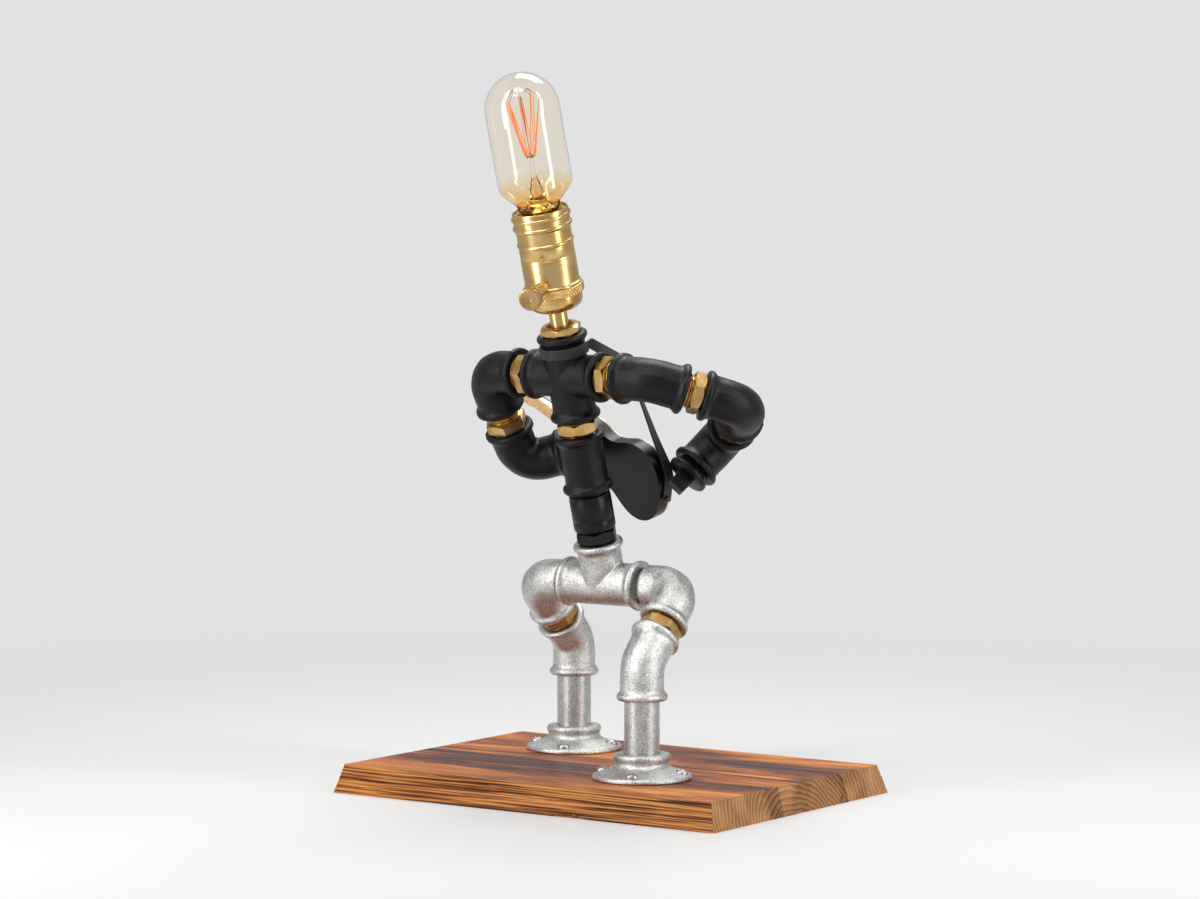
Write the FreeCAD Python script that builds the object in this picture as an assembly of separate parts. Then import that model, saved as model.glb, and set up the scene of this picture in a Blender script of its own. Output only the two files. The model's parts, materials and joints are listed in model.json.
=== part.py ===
import FreeCAD, Part
import os
from math import cos, pi, radians, sin, sqrt, tan

# Desk lamp in the form of a figure made of half inch pipe fittings on a wooden board.
# Millimetres. Origin at the centre of the board's underside, +Z up, X along the board's long side.
# The figure faces +Y, and its right side is +X.

Vec = FreeCAD.Vector
Turn = FreeCAD.Rotation
Place = FreeCAD.Placement
X, Y, Z = Vec(1, 0, 0), Vec(0, 1, 0), Vec(0, 0, 1)
ORIGIN = Vec(0, 0, 0)

# Board
board_length = 270.0
board_width = 185.0
board_thickness = 17.3
board_flare = 4.9
cable_groove_width = 9.0
cable_groove_depth = 4.0

# Half inch pipe thread, drawn as plain cylinders
thread_radius = 10.45
thread_fit = 0.08
thread_reach = 12.0
port_depth = 14.0
pipe_radius = 10.65
pipe_bore_radius = 8.0
waterway_radius = 8.6

# Cast fittings
fitting_radius = 13.25
bead_radius = 15.5
bead_width = 4.6
bead_round = 1.3
bead_fillet = 1.2
elbow_leg = 28.0
elbow_curve = 15.0
knee_leg = 22.0
knee_curve = 18.0
tee_leg = 28.0
cross_leg = 27.1
street_leg = 37.0
street_thread = 13.2
coupling_length = 36.5
socket_length = 23.0
socket_radius = 12.9
socket_thread = 10.0

# Hex nipples: the gap that one fills is its hex and the thread that shows beside it
nipple_flats = 23.0
nipple_hex_height = 7.2
nipple_seat = 0.5
corner_break = 0.7

# Floor flange
flange_radius = 30.2
flange_edge = 3.4
flange_rim = 1.4
flange_height = 15.6
flange_hub_radius = 17.2
flange_foot_radius = 21.5
flange_slope_top = 5.8
flange_screw_circle = 24.4
flange_screw_count = 4
flange_screw_angle = 20.0
screw_shank_radius = 1.9
screw_head_radius = 3.9
screw_head_height = 2.4
screw_length = 13.0
screw_fit = 0.06

# Stance
hips_x = -7.4
hips_y = 4.47
hip_reach_right = 56.2
hip_reach_left = 52.9
thigh_angle = 45.0
thigh_thread = 1.84
knee_height = 69.24

# Torso, from the hip tee up
torso_lean = 16.5
torso_twist = -2.8
waist_thread = 1.4
belly_gap = 1.8
chest_thread = 2.7

# Right arm
right_shoulder_thread = 5.23
right_shoulder_roll = -38.2
right_elbow_thread = 3.74
right_elbow_roll = -3.9
right_wrist_thread = 7.12
right_wrist_roll = -60.8
plug_gap = 3.4

# Left arm
left_shoulder_thread = 2.05
left_shoulder_roll = 74.6
left_elbow_thread = 6.49
left_elbow_roll = -31.7

# Square headed plug
plug_flange_radius = 13.5
plug_flange_height = 3.5
plug_head_flats = 11.0
plug_head_height = 11.0

# Neck and lampholder, heights above the top face of the cross
reducer_flats = 23.0
reducer_hex_height = 5.3
reducer_cup_radius = 8.6
reducer_cup_depth = 3.0
stem_radius = 5.5
stem_fit = 0.05
stem_seat = 9.0
cap_base = 14.4
cap_neck_radius = 8.5
cap_shoulder = 19.7
cap_top = 25.3
holder_radius = 16.6
holder_wall = 0.8
ring_height = 5.4
ring_radius = 18.5
ring_teeth = 40
shell_top = 78.2
shell_flange_radius = 17.5
shell_flange_height = 1.3
shell_bead_height = 57.8
shell_bead_radius = 17.4
shell_groove_height = 49.6
groove_depth = 0.4
shade_ring_heights = (68.2, 74.0)
shade_ring_radius = 18.1
shade_ring_width = 2.4
contact_height = 1.9
sleeve_wall = 1.9
screw_shell_radius = 13.18
screw_shell_wall = 0.5
screw_shell_top = 76.5
contact_width = 5.0
contact_thickness = 0.6

# Turn switch
switch_height = 33.9
switch_turn = 288.3
switch_reach = 41.5
switch_shaft_radius = 2.9
switch_fit = 0.06
switch_collar_radius = 3.9
knob_radius = 6.9
knob_width = 4.6

# Bulb, heights above the top face of the cross
bulb_radius = 22.5
bulb_top = 161.9
bulb_shoulder = 94.0
bulb_neck_radius = 12.6
bulb_neck_height = 77.6
bulb_wall = 0.8
bulb_cap_fit = 0.08
bulb_tip_height = 47.4
bulb_insulator_height = 5.6
filament_ring = 147.0
filament_bottom = 110.5
filament_top_radius = 10.5
filament_bottom_radius = 3.2
filament_strands = 12
filament_radius = 0.25
glass_rod_radius = 1.6

# Guitar
guitar_end = Vec(17.8, 26.5, 180.1)
guitar_turn = 18.0
guitar_lean = 17.0
guitar_slope = 26.0
guitar_length = 80.0
guitar_bout = 52.0
guitar_depth = 9.0
guitar_top_thickness = 1.0
soundhole_radius = 7.5
soundhole_place = 47.0
neck_width = 8.6
neck_thickness = 4.6
neck_length = 48.0
head_length = 22.0
head_width = 12.0
fretboard_thickness = 1.2
string_radius = 0.22
string_spacing = 1.1
peg_radius = 1.3
end_pin_radius = 1.6
end_pin_shaft_radius = 0.95

# Strap
strap_width = 6.4
strap_thickness = 1.2
strap_gap = 0.4
strap_lead = 1.8
strap_ring_height = -9.9
strap_end = Vec(-2.0, -3.2, 4.5)
strap_start = 48.0
strap_wrap = 276.0
strap_steps = 12


def seat(shape, frame):
    moved = shape.copy()
    moved.Placement = frame.multiply(moved.Placement)
    return moved


def shift(frame, distance, roll=0.0):
    return frame.multiply(Place(Vec(0, 0, distance), Turn(Z, roll)))


def fuse(shapes):
    return shapes[0].fuse(shapes[1:]).removeSplitter()


def rod(radius, low, high):
    return Part.makeCylinder(radius, high - low, Vec(0, 0, low), Z)


def tube(outer, inner, low, high):
    return rod(outer, low, high).cut(rod(inner, low - 1, high + 1))


def turned(points):
    # Solid of revolution about Z through (radius, height) points, closed along the axis or on itself.
    corners = [Vec(radius, 0, height) for radius, height in points]
    outline = Part.makePolygon(corners + [corners[0]])
    return Part.Face(outline).revolve(ORIGIN, Z, 360)


def arc(start, middle, end):
    return Part.Arc(Vec(start[0], 0, start[1]), Vec(middle[0], 0, middle[1]), Vec(end[0], 0, end[1])).toShape()


def line(start, end):
    return Part.makeLine(Vec(start[0], 0, start[1]), Vec(end[0], 0, end[1]))


def hex_prism(flats, low, high):
    corner = flats / sqrt(3)
    ring = [Vec(corner * cos(radians(60 * i)), corner * sin(radians(60 * i)), low) for i in range(6)]
    prism = Part.Face(Part.makePolygon(ring + [ring[0]])).extrude(Vec(0, 0, high - low))
    edge = corner - corner_break
    drop = corner_break * 0.6
    limit = turned([(0, low), (edge, low), (corner, low + drop), (corner, high - drop), (edge, high), (0, high)])
    return prism.common(limit)


# Cast fittings. Each one starts at its inlet face, at the frame's origin, and runs along +Z.

BACK = Place(ORIGIN, Turn(Y, 180))


def bead():
    # Reinforcing bead at a port, with the slope that runs it into the body.
    r, w, e, f = bead_radius, bead_width, bead_round, bead_fillet
    return turned([(0, 0), (r - e, 0), (r, e), (r, w - e), (fitting_radius, w + f), (0, w + f)])


def port():
    return rod(thread_radius + thread_fit, -1, port_depth)


def outlet(leg_in, leg_out, angle):
    bend = radians(angle)
    return Place(Vec(leg_out * sin(bend), 0, leg_in + leg_out * cos(bend)), Turn(Y, angle))


def bent_rod(radius, leg_in, leg_out, curve, angle, extra=0.0):
    # Round bar from the inlet face through one bend towards +X, to the outlet face.
    setback = curve * tan(radians(angle) / 2)
    first = rod(radius, -extra, leg_in - setback)
    disc = Part.Face(Part.Wire(Part.makeCircle(radius, Vec(0, 0, leg_in - setback), Z)))
    bend = disc.revolve(Vec(curve, 0, leg_in - setback), Y, angle)
    last = seat(rod(radius, setback - leg_out, extra), outlet(leg_in, leg_out, angle))
    return fuse([first, bend, last])


def elbow(leg, curve, angle):
    out = outlet(leg, leg, angle)
    body = fuse([bent_rod(fitting_radius, leg, leg, curve, angle), bead(), seat(bead(), out.multiply(BACK))])
    body = body.cut(bent_rod(waterway_radius, leg, leg, curve, angle, 1.0))
    return body.cut(port()).cut(seat(port(), out.multiply(BACK)))


def street_elbow():
    # Male thread at the inlet, port at the outlet.
    cast_leg = street_leg - street_thread
    cast = seat(bent_rod(fitting_radius, cast_leg, elbow_leg, elbow_curve, 90), Place(Vec(0, 0, street_thread), Turn()))
    out = outlet(street_leg, elbow_leg, 90)
    body = fuse([rod(thread_radius, 0, street_thread + 1), cast, seat(bead(), out.multiply(BACK))])
    body = body.cut(bent_rod(pipe_bore_radius, street_leg, elbow_leg, elbow_curve, 90, 1.0))
    return body.cut(seat(port(), out.multiply(BACK)))


def branched(directions, leg):
    # Tee or cross about its centre: one equal leg with a port for each direction.
    faces = [Place(direction * leg, Turn(Z, direction)) for direction in directions]
    solid = fuse([seat(rod(fitting_radius, -leg, 0), face) for face in faces])
    solid = fuse([solid] + [seat(bead(), face.multiply(BACK)) for face in faces])
    for face in faces:
        solid = solid.cut(seat(rod(waterway_radius, -leg, 1), face))
        solid = solid.cut(seat(port(), face.multiply(BACK)))
    return solid


def coupling(length):
    solid = fuse([rod(fitting_radius, 0, length), bead(), seat(bead(), shift(Place(), length).multiply(BACK))])
    solid = solid.cut(rod(waterway_radius + 0.6, -1, length + 1))
    return solid.cut(port()).cut(seat(port(), shift(Place(), length).multiply(BACK)))


def plain_socket(length):
    edge = 0.8
    port_radius = thread_radius + thread_fit
    return turned([
        (port_radius, 0), (socket_radius - edge, 0), (socket_radius, edge),
        (socket_radius, length - edge), (socket_radius - edge, length), (port_radius, length),
    ])


def hex_nipple(gap, hex_start=None, reach_in=thread_reach, reach_out=thread_reach):
    # Starts at the face that it is screwed into, and fills the gap up to the next face.
    low = (gap - nipple_hex_height) / 2 if hex_start is None else hex_start
    collar = hex_prism(nipple_flats, low, low + nipple_hex_height)
    stem = rod(thread_radius, -reach_in, gap + reach_out)
    return fuse([stem, collar]).cut(rod(pipe_bore_radius, -reach_in - 1, gap + reach_out + 1))


def hex_against_far_face(gap):
    # Start of a hex that sits by the next fitting, with its thread showing on the near side.
    return gap - nipple_seat - nipple_hex_height


def close_nipple(gap, reach_in, reach_out):
    return tube(thread_radius, pipe_bore_radius, -reach_in, gap + reach_out)


def plug(gap):
    flange_top = gap + plug_flange_height
    flats = plug_head_flats
    head = Part.makeBox(flats, flats, plug_head_height + 0.5, Vec(-flats / 2, -flats / 2, flange_top - 0.5))
    corner = flats / sqrt(2) - 0.8
    top = flange_top + plug_head_height
    limit = turned([(0, gap), (corner + 1, gap), (corner + 1, top - 1.2), (corner - 0.6, top), (0, top)])
    return fuse([rod(thread_radius, -thread_reach, gap + 0.5), rod(plug_flange_radius, gap, flange_top),
                 head.common(limit)])


# Base

def flared_slab(low, high):
    def sheet(height):
        out = board_flare * (1 - height / board_thickness)
        x, y = board_length / 2 + out, board_width / 2 + out
        ring = [Vec(-x, -y, height), Vec(x, -y, height), Vec(x, y, height), Vec(-x, y, height)]
        return Part.makePolygon(ring + [ring[0]])
    return Part.makeLoft([sheet(low), sheet(high)], True, True)


def screw_frames(foot):
    step = 360.0 / flange_screw_count
    for i in range(flange_screw_count):
        spot = Turn(Z, flange_screw_angle + step * i).multVec(Vec(flange_screw_circle, 0, 0))
        yield foot.multiply(Place(spot + Vec(0, 0, flange_edge), Turn()))


def base_board(right_foot, left_foot):
    board = flared_slab(0, board_thickness)
    reach = board_length / 2 + board_flare - left_foot.Base.x
    groove = Part.makeCylinder(cable_groove_width / 2, reach + 1, Vec(left_foot.Base.x, left_foot.Base.y, 0), X)
    flatten = cable_groove_depth / (cable_groove_width / 2)
    squash = FreeCAD.Matrix()
    squash.scale(1, 1, flatten)
    board = board.cut(groove.transformGeometry(squash))
    board = board.cut(seat(rod(cable_groove_width / 2, -board_thickness - 1, 1), left_foot))
    for foot in (right_foot, left_foot):
        for frame in screw_frames(foot):
            board = board.cut(seat(rod(screw_shank_radius + screw_fit, -screw_length - 0.5, 1), frame))
    return board


def floor_flange():
    port_radius = thread_radius + thread_fit
    hub = flange_hub_radius
    waist = hub - 1.2
    step = flange_height - port_depth + 1
    flange = turned([
        (waterway_radius, 0), (flange_radius, 0), (flange_radius, flange_edge - flange_rim),
        (flange_radius - flange_rim, flange_edge), (flange_foot_radius, flange_slope_top),
        (waist + 1.6, flange_slope_top + 1.2), (waist, flange_slope_top + 3.6), (waist, flange_height - 4.6),
        (hub, flange_height - 3.4), (hub, flange_height - 1.2), (waist, flange_height), (port_radius, flange_height),
        (port_radius, step), (waterway_radius, step),
    ])
    for frame in screw_frames(Place()):
        flange = flange.cut(seat(rod(screw_shank_radius + screw_fit, -flange_edge - 1, 3), frame))
        flange = flange.cut(seat(rod(screw_head_radius + screw_fit, 0, 6), frame))
    return flange


def wood_screw():
    head = turned([(0, 0), (screw_head_radius, 0), (screw_head_radius, screw_head_height * 0.4),
                   (screw_head_radius * 0.6, screw_head_height), (0, screw_head_height)])
    point = 4.0
    shank = turned([(0, -screw_length), (screw_shank_radius, -screw_length + point),
                    (screw_shank_radius, 0.2), (0, 0.2)])
    return fuse([shank, head])


def shin_pipe(bottom, gap):
    # Plain pipe between the flange hub and the knee, threaded into both.
    show = 1.2
    pipe = fuse([rod(thread_radius, -bottom, gap + thread_reach), rod(pipe_radius, show, gap - show)])
    return pipe.cut(rod(pipe_bore_radius, -bottom - 1, gap + thread_reach + 1))


# Neck, lampholder and switch, in the frame of the cross's top face

holder_inner = holder_radius - holder_wall
ring_base = cap_top + 0.1
ring_top = ring_base + ring_height
shell_base = ring_top + 0.1


def switch_frame():
    return Place(Vec(0, 0, switch_height), Turn(Z, switch_turn).multiply(Turn(Y, 90)))


def switch_hole(start, end):
    return seat(rod(switch_shaft_radius + switch_fit, start, end), switch_frame())


def neck_reducer():
    top = 0.1 + reducer_hex_height
    body = fuse([rod(thread_radius, -thread_reach + 1, 0.2), hex_prism(reducer_flats, 0.1, top)])
    body = body.cut(rod(reducer_cup_radius, top - reducer_cup_depth, top + 1))
    return body.cut(rod(stem_radius + stem_fit, -thread_reach, top))


def lamp_stem():
    return tube(stem_radius, stem_radius - 1.5, -stem_seat, cap_base + 3.0)


def lampholder_cap():
    wall = holder_wall
    hole = stem_radius + stem_fit
    return turned([
        (hole, cap_base), (cap_neck_radius, cap_base), (holder_radius, cap_shoulder), (holder_radius, cap_top),
        (holder_inner, cap_top), (holder_inner, cap_shoulder + wall), (cap_neck_radius - 0.4, cap_base + 1.4),
        (hole, cap_base + 1.4),
    ])


def notched_ring(outer, inner, low, high, teeth, depth):
    ring = tube(outer, inner, low, high)
    half = pi * outer / teeth * 0.55
    notch = [Vec(outer - depth, 0, low - 1), Vec(outer + 0.5, half, low - 1), Vec(outer + 0.5, -half, low - 1)]
    cutter = Part.Face(Part.makePolygon(notch + [notch[0]])).extrude(Vec(0, 0, high - low + 2))
    cutters = [seat(cutter, Place(ORIGIN, Turn(Z, 360.0 * i / teeth))) for i in range(teeth)]
    return ring.cut(cutters)


def lampholder_ring():
    return notched_ring(ring_radius, holder_inner + 0.05, ring_base, ring_top, ring_teeth, 0.8)


def lampholder_shell():
    r, low, top = holder_radius, shell_base, shell_top
    groove = shell_groove_height
    swell = shell_bead_height
    points = [
        (holder_inner, low), (shell_flange_radius, low), (shell_flange_radius, low + shell_flange_height),
        (r, low + shell_flange_height + 0.5), (r, groove - 0.6), (r - groove_depth, groove), (r, groove + 0.6),
        (r, swell - 1.0), (shell_bead_radius, swell - 0.3), (shell_bead_radius, swell + 0.3), (r, swell + 1.0),
        (r, top), (holder_inner, top),
    ]
    return turned(points).cut(switch_hole(5, 25))


def shade_ring(height):
    half = shade_ring_width / 2
    inner = holder_radius + 0.05
    return turned([
        (inner, height - half), (shade_ring_radius - 0.5, height - half), (shade_ring_radius, height - half + 0.5),
        (shade_ring_radius, height + half - 0.5), (shade_ring_radius - 0.5, height + half), (inner, height + half),
    ])


def porcelain_top():
    # The spring contact fills the space between the porcelain and the bulb's tip.
    return bulb_tip_height - contact_height


def porcelain_insert():
    outer = holder_inner - 0.1
    low = cap_shoulder + 2.4
    sleeve_inner = outer - sleeve_wall
    solid = turned([
        (0, low), (outer, low), (outer, screw_shell_top), (sleeve_inner, screw_shell_top),
        (sleeve_inner, porcelain_top()), (0, porcelain_top()),
    ])
    return solid.cut(switch_hole(4, 25))


def screw_shell():
    radius = screw_shell_radius
    return tube(radius + screw_shell_wall, radius, porcelain_top() + 0.1, screw_shell_top - 0.3)


def contact_tongue(centre, length, low, high):
    foot = Part.makeBox(length, contact_width, contact_thickness,
                        Vec(centre - length / 2, -contact_width / 2, low))
    tongue = Part.makeBox(contact_thickness, contact_width, high - low, Vec(centre - length / 2, -contact_width / 2, low))
    top = Part.makeBox(length * 0.7, contact_width, contact_thickness,
                       Vec(centre - length / 2, -contact_width / 2, high - contact_thickness))
    return fuse([foot, tongue, top])


def centre_contact():
    return contact_tongue(0, 9.0, porcelain_top() + 0.05, bulb_tip_height - 0.05)


def switch_shaft():
    root = 4.5
    shaft = rod(switch_shaft_radius, root, switch_reach - knob_width)
    collar = notched_ring(switch_collar_radius, switch_shaft_radius - 0.5, switch_reach - 12.5,
                          switch_reach - 6.0, 12, 0.5)
    return seat(fuse([shaft, collar]), switch_frame())


def switch_knob():
    low = switch_reach - knob_width
    edge = 0.5
    dish = 0.5
    disc = turned([
        (0, low), (knob_radius - edge, low), (knob_radius, low + edge), (knob_radius, switch_reach - edge),
        (knob_radius - edge, switch_reach), (1.2, switch_reach - dish), (0, switch_reach - dish),
    ])
    return seat(disc, switch_frame())


# Bulb, in the frame of the cross's top face

def bulb_glass():
    outer, inner = [], []
    for gap, edges in ((0.0, outer), (bulb_wall, inner)):
        radius, neck = bulb_radius - gap, bulb_neck_radius - gap
        centre, low, shoulder = bulb_top - bulb_radius, bulb_neck_height, bulb_shoulder
        swell = Part.BezierCurve()
        swell.setPoles([Vec(neck, 0, low + 2.0), Vec(neck, 0, low + 8.5), Vec(radius, 0, shoulder - 7.5),
                        Vec(radius, 0, shoulder)])
        edges.append(line((neck, low), (neck, low + 2.0)))
        edges.append(swell.toShape())
        edges.append(line((radius, shoulder), (radius, centre)))
        edges.append(arc((radius, centre), (radius * sqrt(0.5), centre + radius * sqrt(0.5)), (0, centre + radius)))
    ends = [line((0, bulb_top), (0, bulb_top - bulb_wall)),
            line((bulb_neck_radius - bulb_wall, bulb_neck_height), (bulb_neck_radius, bulb_neck_height))]
    outline = Part.Wire(Part.__sortEdges__(outer + inner + ends))
    return Part.Face(outline).revolve(ORIGIN, Z, 360)


def bulb_cap():
    radius = screw_shell_radius - bulb_cap_fit
    wall = 0.4
    low = bulb_tip_height + bulb_insulator_height
    top = bulb_neck_height - 0.1
    return turned([
        (radius - 3.6, low), (radius - 0.8, low + 1.8), (radius, low + 2.6), (radius, top), (radius - wall, top),
        (radius - wall, low + 3.0), (radius - 1.3, low + 2.4), (radius - 4.0, low + 0.6),
    ])


def bulb_insulator():
    radius = screw_shell_radius - bulb_cap_fit
    tip = bulb_tip_height
    top = tip + bulb_insulator_height
    return turned([
        (0, tip + 1.3), (4.4, tip + 1.3), (radius - 3.9, top - 0.3), (radius - 4.6, top + 2.5), (0, top + 2.5),
    ])


def bulb_contact():
    return turned([(0, bulb_tip_height), (2.6, bulb_tip_height), (4.3, bulb_tip_height + 1.2), (0, bulb_tip_height + 1.2)])


def bulb_stem():
    # Flared glass mount with its pinched press and the rod that carries the supports.
    low = bulb_neck_height + 1.0
    press_low, press_top, rod_top = 91.5, 95.5, filament_bottom - 0.6
    flare = turned([
        (bulb_neck_radius - bulb_wall - 0.1, low), (bulb_neck_radius - bulb_wall - 0.1, low + 0.8), (6.0, low + 3.2),
        (3.6, press_low), (3.0, press_low + 0.5), (3.0, press_top), (glass_rod_radius, press_top + 1.2),
        (glass_rod_radius, rod_top - 0.6), (glass_rod_radius + 0.7, rod_top), (0, rod_top), (0, low + 4.0),
        (5.0, low + 2.4), (bulb_neck_radius - 2.4, low),
    ])
    return flare


def cage_point(i, top):
    # Filament corners stand on two rings: the wide one near the dome and the narrow one at the rod.
    angle = 2 * pi * i / filament_strands
    radius = filament_top_radius if top else filament_bottom_radius
    return Vec(radius * cos(angle), radius * sin(angle), filament_ring if top else filament_bottom)


def wire(points, radius):
    pieces = []
    for start, end in zip(points[:-1], points[1:]):
        run = end - start
        pieces.append(Part.makeCylinder(radius, run.Length, start, run))
    return pieces


def filament():
    points = [cage_point(i + 0.5 * (i % 2), i % 2 == 0) for i in range(filament_strands)]
    return fuse(wire(points, filament_radius))


def filament_supports():
    hub = turned([(0, filament_bottom - 0.4), (2.2, filament_bottom - 0.4), (2.2, filament_bottom + 1.0), (0, filament_bottom + 1.0)])
    return hub


# Guitar, in a frame at the lower end of its back: X to the neck, Y across, Z through to the top

def guitar_frame():
    turn, lean, slope = radians(guitar_turn), radians(guitar_lean), radians(guitar_slope)
    through = Vec(sin(turn) * cos(lean), cos(turn) * cos(lean), sin(lean))
    level = Vec(cos(turn), -sin(turn), 0)
    rise = level.cross(through)
    to_end = level * cos(slope) - rise * sin(slope)
    return Place(guitar_end, Turn(to_end * -1, through.cross(to_end * -1), through, "XZY"))


def guitar_outline(height):
    half = guitar_bout / 2
    stations = [(0.03, 0.50), (0.12, 0.84), (0.27, 1.0), (0.42, 0.89), (0.55, 0.69), (0.63, 0.65), (0.73, 0.70),
                (0.84, 0.75), (0.94, 0.62), (0.99, 0.33)]
    upper = [Vec(guitar_length * s, half * h, height) for s, h in stations]
    lower = [Vec(p.x, -p.y, height) for p in reversed(upper)]
    loop = [Vec(0, 0, height)] + upper + [Vec(guitar_length, 0, height)] + lower
    curve = Part.BSplineCurve()
    curve.interpolate(Points=loop, PeriodicFlag=True)
    return Part.Face(Part.Wire(curve.toShape()))


def guitar_body():
    body = guitar_outline(0).extrude(Vec(0, 0, guitar_depth - guitar_top_thickness - 0.02))
    well = rod(soundhole_radius, guitar_depth - 5.0, guitar_depth + 1)
    return body.cut(seat(well, Place(Vec(soundhole_place, 0, 0), Turn())))


def guitar_top():
    low = guitar_depth - guitar_top_thickness
    plate = guitar_outline(low).extrude(Vec(0, 0, guitar_top_thickness))
    return plate.cut(Part.makeCylinder(soundhole_radius, guitar_depth + 2, Vec(soundhole_place, 0, 0), Z))


def guitar_neck():
    low = guitar_depth - neck_thickness
    half = neck_width / 2
    start = guitar_length + 0.05
    end = start + neck_length
    bar = Part.makeBox(neck_length, neck_width, neck_thickness, Vec(start, -half, low))
    bar = bar.makeFillet(1.6, [e for e in bar.Edges if abs(e.CenterOfMass.z - low) < 0.01 and e.Length > neck_width + 1])
    heel = Part.makeBox(6.0, neck_width, guitar_depth - neck_thickness, Vec(start, -half, 0.5))
    side = head_width / 2
    head = [Vec(end, -half, 0), Vec(end + 4, -side, 0), Vec(end + head_length, -side * 0.85, 0),
            Vec(end + head_length, side * 0.85, 0), Vec(end + 4, side, 0), Vec(end, half, 0)]
    plate = Part.Face(Part.makePolygon(head + [head[0]])).extrude(Vec(0, 0, 3.0))
    plate.translate(Vec(0, 0, guitar_depth - 3.2))
    return fuse([bar, heel, plate])


def fretboard():
    start = guitar_length - 17.0
    length = neck_length + 17.0
    board = Part.makeBox(length, neck_width - 0.6, fretboard_thickness,
                         Vec(start, -(neck_width - 0.6) / 2, guitar_depth + 0.02))
    frets = []
    scale = guitar_length + neck_length - 22.0
    for i in range(1, 15):
        place = guitar_length + neck_length - scale * (1 - 2 ** (-i / 12.0))
        frets.append(Part.makeBox(0.5, neck_width - 0.6, 0.5, Vec(place, -(neck_width - 0.6) / 2,
                     guitar_depth + fretboard_thickness - 0.2)))
    return fuse([board] + frets)


bridge_place = 22.0
bridge_height = 2.6
nut_place = guitar_length + neck_length + 0.1
string_height = guitar_depth + bridge_height


def guitar_bridge():
    low = guitar_depth + 0.02
    base = Part.makeBox(5.0, 17.0, 1.5, Vec(bridge_place - 3.5, -8.5, low))
    saddle = Part.makeBox(1.0, 9.0, bridge_height - 0.02, Vec(bridge_place - 0.5, -4.5, low))
    return fuse([base, saddle])


def guitar_nut():
    return Part.makeBox(1.2, neck_width - 0.6, bridge_height - 0.3,
                        Vec(nut_place, -(neck_width - 0.6) / 2, guitar_depth + 0.02))


def guitar_strings():
    start = Vec(bridge_place - 2.5, 0, string_height + string_radius + 0.02)
    end = Vec(nut_place + 2.0, 0, string_height + string_radius + 0.02)
    strings = []
    for i in range(6):
        across = Vec(0, (i - 2.5) * string_spacing, 0)
        strings.append(Part.makeCylinder(string_radius, (end - start).Length, start + across, end - start))
    return Part.makeCompound(strings)


def tuning_pegs():
    pegs = []
    top = guitar_depth - 0.2
    for side in (-1, 1):
        for i in range(3):
            place = Vec(nut_place + 6.0 + 5.5 * i, side * (head_width / 2 - 2.2), top + 0.02)
            pegs.append(Part.makeCylinder(peg_radius, 2.6, place, Z))
    return Part.makeCompound(pegs)


def end_pin_frame():
    return Place(Vec(0, 0, guitar_depth / 2), Turn(Y, -90))


def end_pin():
    profile = turned([(0, 0.05), (end_pin_shaft_radius, 0.05), (end_pin_shaft_radius, 2.4), (end_pin_radius, 2.8),
                      (end_pin_radius, 3.6), (0, 4.0)])
    return seat(profile, end_pin_frame())


# Strap: a flat band from the end pin, round the back of the neck port, and down to the guitar's heel

def strap(neck_frame, guitar):
    reach = (fitting_radius + strap_gap) / cos(radians(strap_wrap / strap_steps / 2)) + strap_thickness / 2
    axis = neck_frame.Rotation.multVec(Z)
    through = guitar.Rotation.multVec(Z)
    heel = guitar.multVec(Vec(guitar_length + 3.0, neck_width / 2 + 1.0, guitar_depth / 2 + 0.5))
    route = [
        (guitar.multVec(strap_end), through),
        (Vec(24.1, 28.3, 193.6), through),
        (Vec(23.5, 27.7, 198.8), through),
        (Vec(16.3, 24.0, 218.3), through * 0.8 + Vec(-0.4, 0.1, 0.2)),
        (Vec(14.3, 14.0, 238.3), through * 0.6 + Vec(-0.6, 0.3, 0.3)),
        (Vec(16.8, 0.0, 256.0), through * 0.4 + Vec(-0.5, 0.6, 0.6)),
        (Vec(13.8, -14.0, 268.6), axis),
    ]
    for i in range(strap_steps + 1):
        angle = radians(strap_start - strap_wrap * i / strap_steps)
        out = reach + (strap_lead if i in (0, strap_steps) else 0.0)
        route.append((neck_frame.multVec(Vec(out * cos(angle), out * sin(angle), strap_ring_height)), axis))
    route += [
        (Vec(-26.0, -14.0, 262.0), axis + Vec(0, 0.3, 0)),
        (Vec(-36.0, 8.0, 243.0), axis + Vec(0, 0.8, 0)),
        (heel + Vec(5.0, -4.0, 13.0), through),
        (heel, through),
    ]
    sections = []
    for i, (point, across) in enumerate(route):
        before = route[max(i - 1, 0)][0]
        after = route[min(i + 1, len(route) - 1)][0]
        along = (after - before).normalize()
        wide = (across - along * along.dot(across)).normalize() * (strap_width / 2)
        thick = along.cross(wide).normalize() * (strap_thickness / 2)
        ring = [point + wide + thick, point - wide + thick, point - wide - thick, point + wide - thick]
        sections.append(Part.makePolygon(ring + [ring[0]]))
    pin_hole = seat(rod(end_pin_shaft_radius + strap_gap, 0, 3.0), guitar.multiply(end_pin_frame()))
    return Part.makeLoft(sections, True, True).cut(pin_hole)


# Assembly: frames along the figure, each one at a fitting's inlet face with Z into the fitting

thigh_gap = nipple_hex_height + thigh_thread
waist_gap = nipple_hex_height + waist_thread
chest_gap = nipple_hex_height + chest_thread
right_shoulder_gap = nipple_hex_height + right_shoulder_thread
right_elbow_gap = nipple_hex_height + right_elbow_thread
right_wrist_gap = nipple_hex_height + right_wrist_thread
left_shoulder_gap = nipple_hex_height + left_shoulder_thread
left_elbow_gap = nipple_hex_height + left_elbow_thread

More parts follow.
